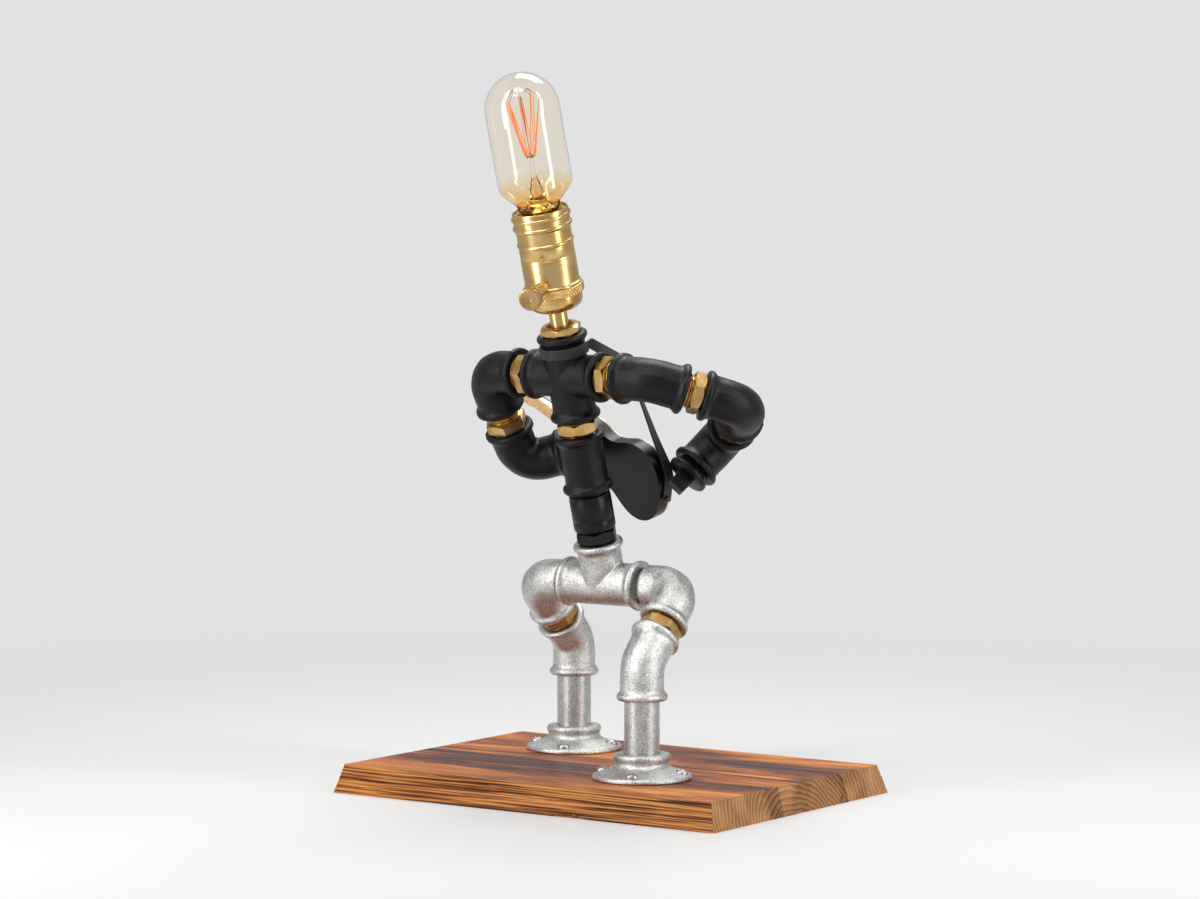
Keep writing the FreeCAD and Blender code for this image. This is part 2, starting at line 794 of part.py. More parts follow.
leg_run = (elbow_leg + thigh_gap + knee_leg) * sin(radians(thigh_angle))
leg_drop = (elbow_leg + thigh_gap + knee_leg) * cos(radians(thigh_angle))
knee_z = board_thickness + knee_height
hips = Vec(hips_x, hips_y, knee_z + leg_drop)
right_foot = Place(Vec(hips_x + hip_reach_right, hips_y - leg_run, board_thickness), Turn())
left_foot = Place(Vec(hips_x - hip_reach_left, hips_y + leg_run, board_thickness), Turn())

torso_up = Vec(0, -sin(radians(torso_lean)), cos(radians(torso_lean)))
tee_centre = Place(hips, Turn(X, torso_up.cross(X), torso_up, "ZXY"))
waist_face = shift(tee_centre, tee_leg)
socket_face = shift(waist_face, waist_gap)
socket_top = shift(socket_face, socket_length)
coupling_face = shift(socket_top, belly_gap)
coupling_top = shift(coupling_face, coupling_length)
cross_centre = shift(coupling_top, chest_gap + cross_leg, torso_twist)
neck_face = shift(cross_centre, cross_leg)

parts = {}
parts["base_board"] = base_board(right_foot, left_foot)
flange = floor_flange()
screw = wood_screw()
screws = []
shin_gap = knee_height - knee_leg - flange_height
for side, foot, way in (("right", right_foot, -1), ("left", left_foot, 1)):
    parts["flange_" + side] = seat(flange, foot)
    screws += [seat(screw, frame) for frame in screw_frames(foot)]
    hub = shift(foot, flange_height)
    parts["shin_pipe_" + side] = seat(shin_pipe(thread_reach, shin_gap), hub)
    knee = Place(hub.Base + Vec(0, 0, shin_gap), Turn(Z, -90 * way))
    parts["knee_elbow_" + side] = seat(elbow(knee_leg, knee_curve, thigh_angle), knee)
    thigh = knee.multiply(outlet(knee_leg, knee_leg, thigh_angle))
    parts["thigh_nipple_" + side] = seat(hex_nipple(thigh_gap), thigh)
    reach = hip_reach_right if side == "right" else hip_reach_left
    run = Vec(-way, 0, 0)
    hip_start = hips + run * (reach - street_leg)
    down = Vec(0, sin(radians(thigh_angle)) * way, -cos(radians(thigh_angle)))
    parts["hip_elbow_" + side] = seat(street_elbow(), Place(hip_start, Turn(down, run.cross(down), run, "ZXY")))
parts["flange_screws"] = Part.makeCompound(screws)

parts["hip_tee"] = seat(branched([X, X * -1, Z], tee_leg), tee_centre)
parts["waist_nipple"] = seat(hex_nipple(waist_gap, reach_out=socket_thread), waist_face)
parts["waist_socket"] = seat(plain_socket(socket_length), socket_face)
parts["belly_nipple"] = seat(close_nipple(belly_gap, socket_thread, thread_reach), socket_top)
parts["torso_coupling"] = seat(coupling(coupling_length), coupling_face)
parts["chest_nipple"] = seat(hex_nipple(chest_gap), coupling_top)
parts["shoulder_cross"] = seat(branched([X, X * -1, Z, Z * -1], cross_leg), cross_centre)


def side_port(sign):
    across = cross_centre.Rotation.multVec(X) * sign
    front = cross_centre.Rotation.multVec(Y)
    return Place(cross_centre.Base + across * cross_leg, Turn(front, across.cross(front), across, "ZXY"))


right_port = side_port(1)
parts["shoulder_nipple_right"] = seat(hex_nipple(right_shoulder_gap, nipple_seat), right_port)
right_upper = shift(right_port, right_shoulder_gap, right_shoulder_roll)
parts["right_upper_elbow"] = seat(elbow(knee_leg, knee_curve, 45), right_upper)
right_upper_end = right_upper.multiply(outlet(knee_leg, knee_leg, 45))
far_hex = hex_against_far_face(right_elbow_gap)
parts["right_arm_nipple"] = seat(hex_nipple(right_elbow_gap, far_hex), right_upper_end)
right_bend = shift(right_upper_end, right_elbow_gap, right_elbow_roll)
parts["right_elbow"] = seat(elbow(elbow_leg, elbow_curve, 90), right_bend)
right_bend_end = right_bend.multiply(outlet(elbow_leg, elbow_leg, 90))
parts["right_wrist_nipple"] = seat(hex_nipple(right_wrist_gap), right_bend_end)
right_forearm = shift(right_bend_end, right_wrist_gap, right_wrist_roll)
parts["right_forearm_elbow"] = seat(elbow(elbow_leg, elbow_curve, 90), right_forearm)
right_hand = right_forearm.multiply(outlet(elbow_leg, elbow_leg, 90))
parts["right_hand_plug"] = seat(plug(plug_gap), right_hand)

left_port = side_port(-1)
parts["shoulder_nipple_left"] = seat(hex_nipple(left_shoulder_gap), left_port)
left_upper = shift(left_port, left_shoulder_gap, left_shoulder_roll)
parts["left_upper_elbow"] = seat(elbow(elbow_leg, elbow_curve, 90), left_upper)
left_upper_end = left_upper.multiply(outlet(elbow_leg, elbow_leg, 90))
far_hex = hex_against_far_face(left_elbow_gap)
parts["left_arm_nipple"] = seat(hex_nipple(left_elbow_gap, far_hex), left_upper_end)
left_lower = shift(left_upper_end, left_elbow_gap, left_elbow_roll)
parts["left_lower_elbow"] = seat(elbow(elbow_leg, elbow_curve, 90), left_lower)
left_hand = left_lower.multiply(outlet(elbow_leg, elbow_leg, 90))
parts["left_hand_plug"] = seat(plug(plug_gap), left_hand)

head_pieces = {
    "neck_reducer": neck_reducer(),
    "lamp_stem": lamp_stem(),
    "lampholder_cap": lampholder_cap(),
    "lampholder_ring": lampholder_ring(),
    "lampholder_shell": lampholder_shell(),
    "shade_ring_lower": shade_ring(shade_ring_heights[0]),
    "shade_ring_upper": shade_ring(shade_ring_heights[1]),
    "porcelain_insert": porcelain_insert(),
    "screw_shell": screw_shell(),
    "centre_contact": centre_contact(),
    "switch_shaft": switch_shaft(),
    "switch_knob": switch_knob(),
    "bulb_glass": bulb_glass(),
    "bulb_cap": bulb_cap(),
    "bulb_insulator": bulb_insulator(),
    "bulb_contact": bulb_contact(),
    "bulb_stem": bulb_stem(),
    "filament": filament(),
    "filament_supports": filament_supports(),
}
for name, piece in head_pieces.items():
    parts[name] = seat(piece, neck_face)

guitar = guitar_frame()
guitar_pieces = {
    "guitar_body": guitar_body(),
    "guitar_top": guitar_top(),
    "guitar_neck": guitar_neck(),
    "fretboard": fretboard(),
    "guitar_bridge": guitar_bridge(),
    "guitar_nut": guitar_nut(),
    "guitar_strings": guitar_strings(),
    "tuning_pegs": tuning_pegs(),
    "end_pin": end_pin(),
}
for name, piece in guitar_pieces.items():
    parts[name] = seat(piece, guitar)
parts["guitar_strap"] = strap(neck_face, guitar)

os.makedirs("parts", exist_ok=True)
for name, shape in parts.items():
    shape.exportStep("parts/" + name + ".step")
    print(name, len(shape.Solids), round(shape.Volume, 1), shape.isValid())
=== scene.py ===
import json
import math

import bmesh
import bpy
from mathutils import Matrix, Vector, noise

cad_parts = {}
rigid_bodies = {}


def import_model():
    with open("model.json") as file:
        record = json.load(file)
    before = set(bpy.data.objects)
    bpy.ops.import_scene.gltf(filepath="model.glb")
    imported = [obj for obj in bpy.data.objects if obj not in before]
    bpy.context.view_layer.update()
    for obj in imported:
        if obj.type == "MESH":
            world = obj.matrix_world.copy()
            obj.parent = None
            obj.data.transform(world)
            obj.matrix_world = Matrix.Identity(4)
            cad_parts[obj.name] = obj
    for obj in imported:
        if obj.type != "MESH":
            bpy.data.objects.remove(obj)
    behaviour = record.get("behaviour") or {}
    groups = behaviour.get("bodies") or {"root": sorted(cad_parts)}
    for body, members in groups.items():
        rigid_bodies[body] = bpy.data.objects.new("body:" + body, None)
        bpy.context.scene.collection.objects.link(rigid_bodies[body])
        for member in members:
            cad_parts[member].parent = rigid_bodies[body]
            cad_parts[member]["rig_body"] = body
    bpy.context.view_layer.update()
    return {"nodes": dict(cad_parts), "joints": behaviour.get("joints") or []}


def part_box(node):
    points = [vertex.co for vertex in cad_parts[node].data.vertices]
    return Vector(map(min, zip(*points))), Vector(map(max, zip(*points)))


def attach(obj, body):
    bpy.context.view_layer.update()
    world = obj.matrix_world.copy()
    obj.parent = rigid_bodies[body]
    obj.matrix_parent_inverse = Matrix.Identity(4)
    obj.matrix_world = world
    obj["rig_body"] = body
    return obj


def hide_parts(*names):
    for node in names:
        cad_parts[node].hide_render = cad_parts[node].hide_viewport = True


# Desk lamp in the form of a figure of pipe fittings. Pieces are drawn in millimetres and placed in metres.

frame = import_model()
scene = bpy.context.scene
mm = 0.001
joints = {joint["name"]: joint for joint in frame["joints"]}


def hexColour(code):
    # sRGB hex to the linear numbers that the shaders take
    parts = [int(code[i:i + 2], 16) / 255 for i in (1, 3, 5)]
    return [c / 12.92 if c <= 0.04045 else ((c + 0.055) / 1.055) ** 2.4 for c in parts] + [1.0]


def perMetre(size):
    # pattern scale for a repeat of that many millimetres
    return 1.0 / (size * mm)


def newMaterial(name, **surface):
    material = bpy.data.materials.new(name)
    material.use_nodes = True
    shader = material.node_tree.nodes["Principled BSDF"]
    for socket, value in surface.items():
        shader.inputs[socket.replace("_", " ")].default_value = value
    return material, shader


def addNode(material, kind, values=(), links=(), stops=(), **settings):
    node = material.node_tree.nodes.new("ShaderNode" + kind)
    for key, value in settings.items():
        setattr(node, key, value)
    for key, value in dict(values).items():
        node.inputs[key].default_value = value
    for key, output in dict(links).items():
        material.node_tree.links.new(output, node.inputs[key])
    for i, (place, code) in enumerate(stops):
        stop = node.color_ramp.elements[i] if i < 2 else node.color_ramp.elements.new(place)
        stop.position, stop.color = place, hexColour(code)
    return node


def join(material, output, socket):
    material.node_tree.links.new(output, socket)


# Materials

def castFinish(name, base, dark, light, grain, relief, metallic, roughness, specular=0.5):
    # moulding sand leaves pits and grains in a casting's skin, and the coating over it pools and thins
    material, shader = newMaterial(name, Metallic=metallic, Specular_IOR_Level=specular)
    where = addNode(material, "TexCoord")
    sand = addNode(material, "TexNoise", {"Scale": perMetre(grain), "Detail": 3.0, "Roughness": 0.6},
                   {"Vector": where.outputs["Object"]})
    patches = addNode(material, "TexNoise", {"Scale": perMetre(grain * 9), "Detail": 4.0},
                      {"Vector": where.outputs["Object"]})
    mostly = addNode(material, "Math", {1: 0.82}, {0: sand.outputs["Fac"]}, operation="MULTIPLY")
    both = addNode(material, "Math", {1: 0.18}, {0: patches.outputs["Fac"], 2: mostly.outputs[0]},
                   operation="MULTIPLY_ADD")
    tone = addNode(material, "ValToRGB", {}, {"Fac": both.outputs[0]},
                   [(0.37, dark), (0.62, light), (0.49, base)])
    join(material, tone.outputs["Color"], shader.inputs["Base Color"])
    gloss = addNode(material, "MapRange", {"From Min": 0.3, "From Max": 0.7, "To Min": roughness[0],
                                           "To Max": roughness[1]}, {"Value": sand.outputs["Fac"]})
    join(material, gloss.outputs["Result"], shader.inputs["Roughness"])
    bump = addNode(material, "Bump", {"Strength": 0.9, "Distance": relief * mm},
                   {"Height": sand.outputs["Fac"]})
    join(material, bump.outputs["Normal"], shader.inputs["Normal"])
    return material


# zinc over sand-cast iron: light grey, with bright grains and duller hollows
galvanizedCastIron = castFinish("hotDipGalvanizedCastIron", "#c6c6c4", "#8b8a88", "#ecebe8", 0.7, 0.34, 1.0,
                                (0.24, 0.46))
# sprayed black enamel over the same castings: satin, and thin enough to show the sand
blackPaintedIron = castFinish("blackSprayPaintedCastIron", "#080808", "#040404", "#0e0d0d", 0.8, 0.26, 0.0,
                              (0.26, 0.44), 0.26)
# zinc over drawn steel pipe: the same grey, but finer and more even than on the castings
galvanizedPipe = castFinish("hotDipGalvanizedDrawnPipe", "#b9b9b7", "#8e8e8c", "#dad9d6", 0.7, 0.12, 1.0,
                            (0.28, 0.44))


def turnedMetal(name, base, dark, roughness, lineWidth, relief, axis, centre=None, metallic=1.0,
                specular=0.5):
    # lathe lines run round the axis, or on a flat face round its centre
    material, shader = newMaterial(name, Metallic=metallic, Specular_IOR_Level=specular)
    where = addNode(material, "TexCoord")
    measure = "DOT_PRODUCT" if centre is None else "DISTANCE"
    reach = addNode(material, "VectorMath", {1: axis if centre is None else centre},
                    {0: where.outputs["Object"]}, operation=measure)
    lines = addNode(material, "TexNoise", {"Scale": perMetre(lineWidth), "Detail": 2.0},
                    {"W": reach.outputs["Value"]}, noise_dimensions="1D")
    handled = addNode(material, "TexNoise", {"Scale": perMetre(14), "Detail": 5.0, "Roughness": 0.65},
                      {"Vector": where.outputs["Object"]})
    tone = addNode(material, "ValToRGB", {}, {"Fac": handled.outputs["Fac"]}, [(0.32, dark), (0.6, base)])
    join(material, tone.outputs["Color"], shader.inputs["Base Color"])
    gloss = addNode(material, "MapRange", {"From Min": 0.3, "From Max": 0.7, "To Min": roughness[0],
                                           "To Max": roughness[1]}, {"Value": lines.outputs["Fac"]})
    join(material, gloss.outputs["Result"], shader.inputs["Roughness"])
    bump = addNode(material, "Bump", {"Strength": 0.6, "Distance": relief * mm},
                   {"Height": lines.outputs["Fac"]})
    join(material, bump.outputs["Normal"], shader.inputs["Normal"])
    return material


neckPoint = Vector(joints["head_turn"]["pos_m"])
torsoUp = Vector(joints["head_turn"]["axis"]).normalized()
acrossShoulders = Vector(joints["right_shoulder_swivel"]["axis"]).normalized()
knobAxis = Vector(joints["switch_turn"]["axis"]).normalized()
knobFace = neckPoint + torsoUp * 33.9 * mm + knobAxis * 41.5 * mm

# pale yellow brass from the lathe: satin, with lines drawn several times as coarse as real ones to show
lampBrass = turnedMetal("satinTurnedBrass", "#dfc184", "#c29b58", (0.2, 0.34), 0.4, 0.03, torsoUp)
# brass that fingers have browned: duller, with rings round the middle of the knob
knobBrass = turnedMetal("handledTurnedBrass", "#bf9f6e", "#98774b", (0.28, 0.42), 0.5, 0.05, torsoUp,
                        knobFace)
# black spray paint over a turned steel socket: smooth next to the castings, with faint rings
blackSocketPaint = turnedMetal("blackPaintedTurnedSteel", "#080808", "#050505", (0.28, 0.38), 0.7, 0.05,
                               torsoUp, None, 0.0, 0.28)
# thin nickelled sheet pressed into the cap's thread: paler than the lampholder
capNickel = turnedMetal("pressedNickelPlatedBrass", "#cdbb95", "#a08c66", (0.2, 0.34), 0.4, 0.03, torsoUp)


def plainFinish(name, base, dark, patch, relief, **surface):
    # a smooth surface whose colour still drifts a little
    material, shader = newMaterial(name, **surface)
    where = addNode(material, "TexCoord")
    drift = addNode(material, "TexNoise", {"Scale": perMetre(patch), "Detail": 5.0},
                    {"Vector": where.outputs["Object"]})
    tone = addNode(material, "ValToRGB", {}, {"Fac": drift.outputs["Fac"]}, [(0.35, dark), (0.65, base)])
    join(material, tone.outputs["Color"], shader.inputs["Base Color"])
    bump = addNode(material, "Bump", {"Strength": 0.4, "Distance": relief * mm},
                   {"Height": drift.outputs["Fac"]})
    join(material, bump.outputs["Normal"], shader.inputs["Normal"])
    return material


# milled hexagon bar: bright flats, a little browner than the lampholder
fittingBrass = plainFinish("milledBarBrass", "#d4b377", "#b08a50", 9, 0.02, Metallic=1.0, Roughness=0.27)
# bright zinc on steel screws: clean light grey
zincScrew = plainFinish("zincPlatedSteel", "#c4c3be", "#9a9994", 3, 0.01, Metallic=1.0, Roughness=0.3)
# glazed porcelain: warm white and glossy
porcelain = plainFinish("glazedPorcelain", "#efece2", "#dcd6c8", 4, 0.02, Roughness=0.15, Coat_Weight=0.5)
# black glass pressed between cap and contact: deep and shiny
vitrite = plainFinish("blackPressedGlass", "#101114", "#08090a", 3, 0.02, Roughness=0.12)
# polished bone nut: cream, softly shining
polishedBone = plainFinish("polishedBone", "#e9e0c8", "#cdbf9f", 2, 0.01, Roughness=0.3)
# drawn steel string: thin grey gleam
stringWire = plainFinish("drawnSteelString", "#b9b3a4", "#8f897b", 1, 0.01, Metallic=1.0, Roughness=0.3)
# drawn molybdenum wire in the bulb: dull grey-brown
supportWire = plainFinish("drawnMolybdenumWire", "#8d7a66", "#5f4f40", 1, 0.01, Metallic=1.0,
                          Roughness=0.35)
# polished nitrocellulose lacquer over a black stain: dark brown that mirrors the room
guitarLacquer = plainFinish("polishedBlackStainLacquer", "#0c0706", "#050303", 25, 0.03, Roughness=0.3,
                            Specular_IOR_Level=0.22)

# blown glass: clear and faintly smoky, with slow waves from the blowing
bulbGlass, bulbShader = newMaterial("clearBlownGlass", Roughness=0.0, IOR=1.45, Transmission_Weight=1.0)
where = addNode(bulbGlass, "TexCoord")
# painted reflection: the narrow end of the glass is coloured gold, standing in for the lit brass below
# mirrored in it
brassReflectionHeights = {"goldBelow": 84, "clearFrom": 98}
upGlass = addNode(bulbGlass, "VectorMath", {1: torsoUp}, {0: where.outputs["Object"]},
                  operation="DOT_PRODUCT")
neckLevel = neckPoint.dot(torsoUp)
paintedReflectionShare = addNode(bulbGlass, "MapRange", {"From Min": neckLevel + brassReflectionHeights["goldBelow"] * mm,
                                            "From Max": neckLevel + brassReflectionHeights["clearFrom"] * mm},
                    {"Value": upGlass.outputs["Value"]})
# painted reflection: gold at the narrow end of the glass, fading up to the glass's own warm white
glassAndPaintedReflectionTone = addNode(bulbGlass, "ValToRGB", {}, {"Fac": paintedReflectionShare.outputs["Result"]},
                    [(0.0, "#f8d68f"), (1.0, "#fdf9f0")])
join(bulbGlass, glassAndPaintedReflectionTone.outputs["Color"], bulbShader.inputs["Base Color"])
blown = addNode(bulbGlass, "TexNoise", {"Scale": perMetre(16), "Detail": 1.0},
                {"Vector": where.outputs["Object"]})
blownBump = addNode(bulbGlass, "Bump", {"Strength": 0.15, "Distance": 0.2 * mm},
                    {"Height": blown.outputs["Fac"]})
join(bulbGlass, blownBump.outputs["Normal"], bulbShader.inputs["Normal"])

# carbon thread at low heat: orange light that stays darker than white
glowingCarbon, glowShader = newMaterial("glowingCarbonThread", Roughness=0.6, Emission_Strength=0.85)
glowShader.inputs["Emission Color"].default_value = hexColour("#ff8618")
where = addNode(glowingCarbon, "TexCoord")
heat = addNode(glowingCarbon, "TexNoise", {"Scale": perMetre(3)}, {"Vector": where.outputs["Object"]})
ember = addNode(glowingCarbon, "ValToRGB", {}, {"Fac": heat.outputs["Fac"]},
                [(0.3, "#5e2607"), (0.7, "#8f430f")])
join(glowingCarbon, ember.outputs["Color"], glowShader.inputs["Base Color"])

# pine scorched with a torch, brushed and varnished: summer wood burns dark, spring wood stays orange
woodSizes = {"ring": 3.4, "glueLines": (-58, -21, 7, 51), "burn": 46, "fibre": 0.9, "line": 0.95}
burntWood, woodShader = newMaterial("torchBurntVarnishedPine", Specular_IOR_Level=0.14)
where = addNode(burntWood, "TexCoord")
axes = addNode(burntWood, "SeparateXYZ", {}, {0: where.outputs["Object"]})
stave = None
for glueLine in woodSizes["glueLines"]:
    step = addNode(burntWood, "Math", {1: glueLine * mm}, {0: axes.outputs["Y"]}, operation="GREATER_THAN")
    if stave is None:
        stave = step.outputs[0]
    else:
        stave = addNode(burntWood, "Math", {}, {0: stave, 1: step.outputs[0]}, operation="ADD").outputs[0]
staveTone = addNode(burntWood, "TexWhiteNoise", {}, {"W": stave}, noise_dimensions="1D")
# each stave was sawn from its own place in the log, so its rings have their own centre
pithShift = addNode(burntWood, "VectorMath", {1: (0, 0.5, 0.5)}, {0: staveTone.outputs["Color"]},
                    operation="SUBTRACT")
pithSpread = addNode(burntWood, "VectorMath", {1: (0, 0.11, 0.09)}, {0: pithShift.outputs[0]},
                     operation="MULTIPLY")
fromPith = addNode(burntWood, "VectorMath", {}, {0: where.outputs["Object"], 1: pithSpread.outputs[0]},
                   operation="ADD")
lengthwise = addNode(burntWood, "Mapping", {"Scale": (0.045, 1, 1)}, {"Vector": fromPith.outputs[0]})
wander = addNode(burntWood, "TexNoise", {"Scale": perMetre(30), "Detail": 2.0},
                 {"Vector": lengthwise.outputs[0]})
wanderBy = addNode(burntWood, "VectorMath", {1: (0.0, 0.012, 0.012)}, {0: wander.outputs["Color"]},
                   operation="MULTIPLY")
wandering = addNode(burntWood, "VectorMath", {}, {0: lengthwise.outputs[0], 1: wanderBy.outputs[0]},
                    operation="ADD")
# the wave texture has a ring each two pi over twenty
rings = addNode(burntWood, "TexWave", {"Scale": perMetre(woodSizes["ring"]) * math.tau / 20,
                                       "Distortion": 0.8, "Detail": 3.0, "Detail Scale": 2.0},
                                       {"Vector": wandering.outputs[0]},
                wave_type="RINGS", rings_direction="X", wave_profile="SAW")
fibres = addNode(burntWood, "Mapping", {"Scale": (0.03, 1, 1)}, {"Vector": where.outputs["Object"]})
fibre = addNode(burntWood, "TexNoise", {"Scale": perMetre(woodSizes["fibre"]), "Detail": 3.0,
                                        "Roughness": 0.7},
                {"Vector": fibres.outputs[0]})
burnStretch = addNode(burntWood, "Mapping", {"Scale": (0.22, 1, 1), "Location": (0.31, 0.12, 0)},
                      {"Vector": fromPith.outputs[0]})
burn = addNode(burntWood, "TexNoise", {"Scale": perMetre(woodSizes["burn"]), "Detail": 3.5,
                                       "Roughness": 0.55, "Distortion": 0.9},
                                       {"Vector": burnStretch.outputs[0]})
burnRing = addNode(burntWood, "Math", {1: 0.2}, {0: rings.outputs["Fac"]}, operation="MULTIPLY")
burnFibre = addNode(burntWood, "Math", {1: 0.3}, {0: fibre.outputs["Fac"]}, operation="MULTIPLY")
grainSum = addNode(burntWood, "Math", {}, {0: burnRing.outputs[0], 1: burnFibre.outputs[0]},
                   operation="ADD")
burnSum = addNode(burntWood, "Math", {}, {0: grainSum.outputs[0], 1: burn.outputs["Fac"]}, operation="ADD")
topTone = addNode(burntWood, "ValToRGB", {}, {"Fac": burnSum.outputs[0]},
                  [(0.5, "#f0a443"), (0.93, "#220d05"), (0.61, "#cf7a26"), (0.71, "#9c4f18"),
                   (0.82, "#56250c")])
# the brushed long sides show the wood cut along its rings, as fine dark and light lines
straight = addNode(burntWood, "Mapping", {"Scale": (0.012, 1, 1)}, {"Vector": where.outputs["Object"]})
lines = addNode(burntWood, "TexNoise", {"Scale": perMetre(woodSizes["line"]), "Detail": 2.0,
                                        "Roughness": 0.5},
                {"Vector": straight.outputs[0]})
lineShare = addNode(burntWood, "Math", {1: 0.3}, {0: burn.outputs["Fac"]}, operation="MULTIPLY")
lineSum = addNode(burntWood, "Math", {}, {0: lines.outputs["Fac"], 1: lineShare.outputs[0]},
                  operation="ADD")
sideTone = addNode(burntWood, "ValToRGB", {}, {"Fac": lineSum.outputs[0]},
                   [(0.54, "#c98746"), (0.8, "#2c1409"), (0.63, "#9a5c28"), (0.71, "#653515")])
# the end grain is only lightly scorched, and its rings are plain to see
endRing = addNode(burntWood, "Math", {1: 0.3}, {0: rings.outputs["Fac"]}, operation="MULTIPLY")
endSum = addNode(burntWood, "Math", {}, {0: endRing.outputs[0], 1: burn.outputs["Fac"]}, operation="ADD")
endTone = addNode(burntWood, "ValToRGB", {}, {"Fac": endSum.outputs[0]},
                  [(0.42, "#bb8c60"), (0.9, "#5b3a24"), (0.62, "#9d7048"), (0.76, "#7d5536")])
surfaceWay = addNode(burntWood, "NewGeometry")
wayParts = addNode(burntWood, "SeparateXYZ", {}, {0: surfaceWay.outputs["Normal"]})
endWay = addNode(burntWood, "Math", {}, {0: wayParts.outputs["X"]}, operation="ABSOLUTE")
endMask = addNode(burntWood, "Math", {1: 0.75}, {0: endWay.outputs[0]}, operation="GREATER_THAN")
sideWay = addNode(burntWood, "Math", {}, {0: wayParts.outputs["Y"]}, operation="ABSOLUTE")
sideMask = addNode(burntWood, "Math", {1: 0.6}, {0: sideWay.outputs[0]}, operation="GREATER_THAN")
longTone = addNode(burntWood, "Mix", {}, {"Factor": sideMask.outputs[0], "A": topTone.outputs["Color"],
                                          "B": sideTone.outputs["Color"]}, data_type="RGBA")
woodTone = addNode(burntWood, "Mix", {}, {"Factor": endMask.outputs[0], "A": longTone.outputs["Result"],
                                          "B": endTone.outputs["Color"]}, data_type="RGBA")
join(burntWood, woodTone.outputs["Result"], woodShader.inputs["Base Color"])
upMask = addNode(burntWood, "Math", {1: 0.9}, {0: wayParts.outputs["Z"]}, operation="GREATER_THAN")
woodGloss = addNode(burntWood, "MapRange", {"To Min": 0.5, "To Max": 0.34}, {"Value": upMask.outputs[0]})
join(burntWood, woodGloss.outputs["Result"], woodShader.inputs["Roughness"])
woodHeight = addNode(burntWood, "Math", {}, {0: rings.outputs["Fac"], 1: fibre.outputs["Fac"]},
                     operation="ADD")
woodBump = addNode(burntWood, "Bump", {"Strength": 0.35, "Distance": 0.15 * mm},
                   {"Height": woodHeight.outputs[0]}, invert=True)
join(burntWood, woodBump.outputs["Normal"], woodShader.inputs["Normal"])


def grainedWood(name, light, dark, ringSize, **surface):
    # planed instrument wood, with its grain along the neck
    material, shader = newMaterial(name, **surface)
    where = addNode(material, "TexCoord")
    turned = addNode(material, "Mapping", {"Rotation": (0.0, 0.43, 0.17), "Scale": (0.05, 1, 1)},
                     {"Vector": where.outputs["Object"]})
    grain = addNode(material, "TexNoise", {"Scale": perMetre(ringSize), "Detail": 4.0, "Roughness": 0.6},
                    {"Vector": turned.outputs[0]})
    tone = addNode(material, "ValToRGB", {}, {"Fac": grain.outputs["Fac"]}, [(0.35, dark), (0.62, light)])
    join(material, tone.outputs["Color"], shader.inputs["Base Color"])
    bump = addNode(material, "Bump", {"Strength": 0.3, "Distance": 0.05 * mm},
                   {"Height": grain.outputs["Fac"]})
    join(material, bump.outputs["Normal"], shader.inputs["Normal"])
    return material


# planed and varnished maple: pale gold with a faint grain
neckMaple = grainedWood("varnishedMaple", "#e6bf8c", "#c9955a", 1.5, Roughness=0.3, Coat_Weight=0.4)
# planed and varnished spruce: amber with narrow straight lines
topSpruce = grainedWood("varnishedSpruce", "#dcae6c", "#b98245", 1.2, Roughness=0.3, Coat_Weight=0.5)
# oiled rosewood: near black-brown, hardly shining
rosewood = grainedWood("oiledRosewood", "#3a2116", "#1b0e09", 0.8, Roughness=0.45)

# smooth dyed cowhide: dark brown with fine pores and slow creases
strapLeather, strapShader = newMaterial("smoothDyedCowhide", Roughness=0.42, Sheen_Weight=0.1)
where = addNode(strapLeather, "TexCoord")
pores = addNode(strapLeather, "TexVoronoi", {"Scale": perMetre(0.9)}, {"Vector": where.outputs["Object"]})
creases = addNode(strapLeather, "TexNoise", {"Scale": perMetre(5), "Detail": 4.0},
                  {"Vector": where.outputs["Object"]})
leatherTone = addNode(strapLeather, "ValToRGB", {}, {"Fac": creases.outputs["Fac"]},
                      [(0.35, "#0f0a08"), (0.65, "#221812")])
join(strapLeather, leatherTone.outputs["Color"], strapShader.inputs["Base Color"])
leatherBump = addNode(strapLeather, "Bump", {"Strength": 0.5, "Distance": 0.1 * mm},
                      {"Height": pores.outputs["Distance"]})
join(strapLeather, leatherBump.outputs["Normal"], strapShader.inputs["Normal"])
print("materials made")


# Shared ways of making pieces

def placeOn(point, up, side):
    # matrix with Z along up and X leaning towards side
    z = Vector(up).normalized()
    x = Vector(side)
    x = (x - z * x.dot(z)).normalized()
    place = Matrix((x, z.cross(x), z)).transposed().to_4x4()
    place.translation = Vector(point)
    return place


def slide(distance, roll=0.0):
    return Matrix.Translation((0, 0, distance * mm)) @ Matrix.Rotation(math.radians(roll), 4, "Z")


def outlet(legIn, legOut, angle):
    bend = math.radians(angle)
    shift = Vector((legOut * math.sin(bend), 0, legIn + legOut * math.cos(bend))) * mm
    return Matrix.Translation(shift) @ Matrix.Rotation(bend, 4, "Y")


def addPiece(name, bm, place, material, node, slotName, standsFor=None, sharpAngle=38, bevelWidth=0.0):
    # places the mesh, gives it its finish and lets it ride on the body of the node that it stands for
    bmesh.ops.transform(bm, matrix=place @ Matrix.Scale(mm, 4), verts=bm.verts)
    mesh = bpy.data.meshes.new(name)
    bm.to_mesh(mesh)
    bm.free()
    mesh.materials.append(material)
    mesh.shade_smooth()
    mesh.set_sharp_from_angle(angle=math.radians(sharpAngle))
    piece = bpy.data.objects.new(name, mesh)
    scene.collection.objects.link(piece)
    if bevelWidth:
        bevel = piece.modifiers.new("easedEdges", "BEVEL")
        bevel.width, bevel.segments, bevel.limit_method = bevelWidth * mm, 2, "ANGLE"
        bevel.angle_limit, bevel.harden_normals = math.radians(32), False
    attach(piece, frame["nodes"][node]["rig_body"])
    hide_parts(*(standsFor or (node,)))
    return piece


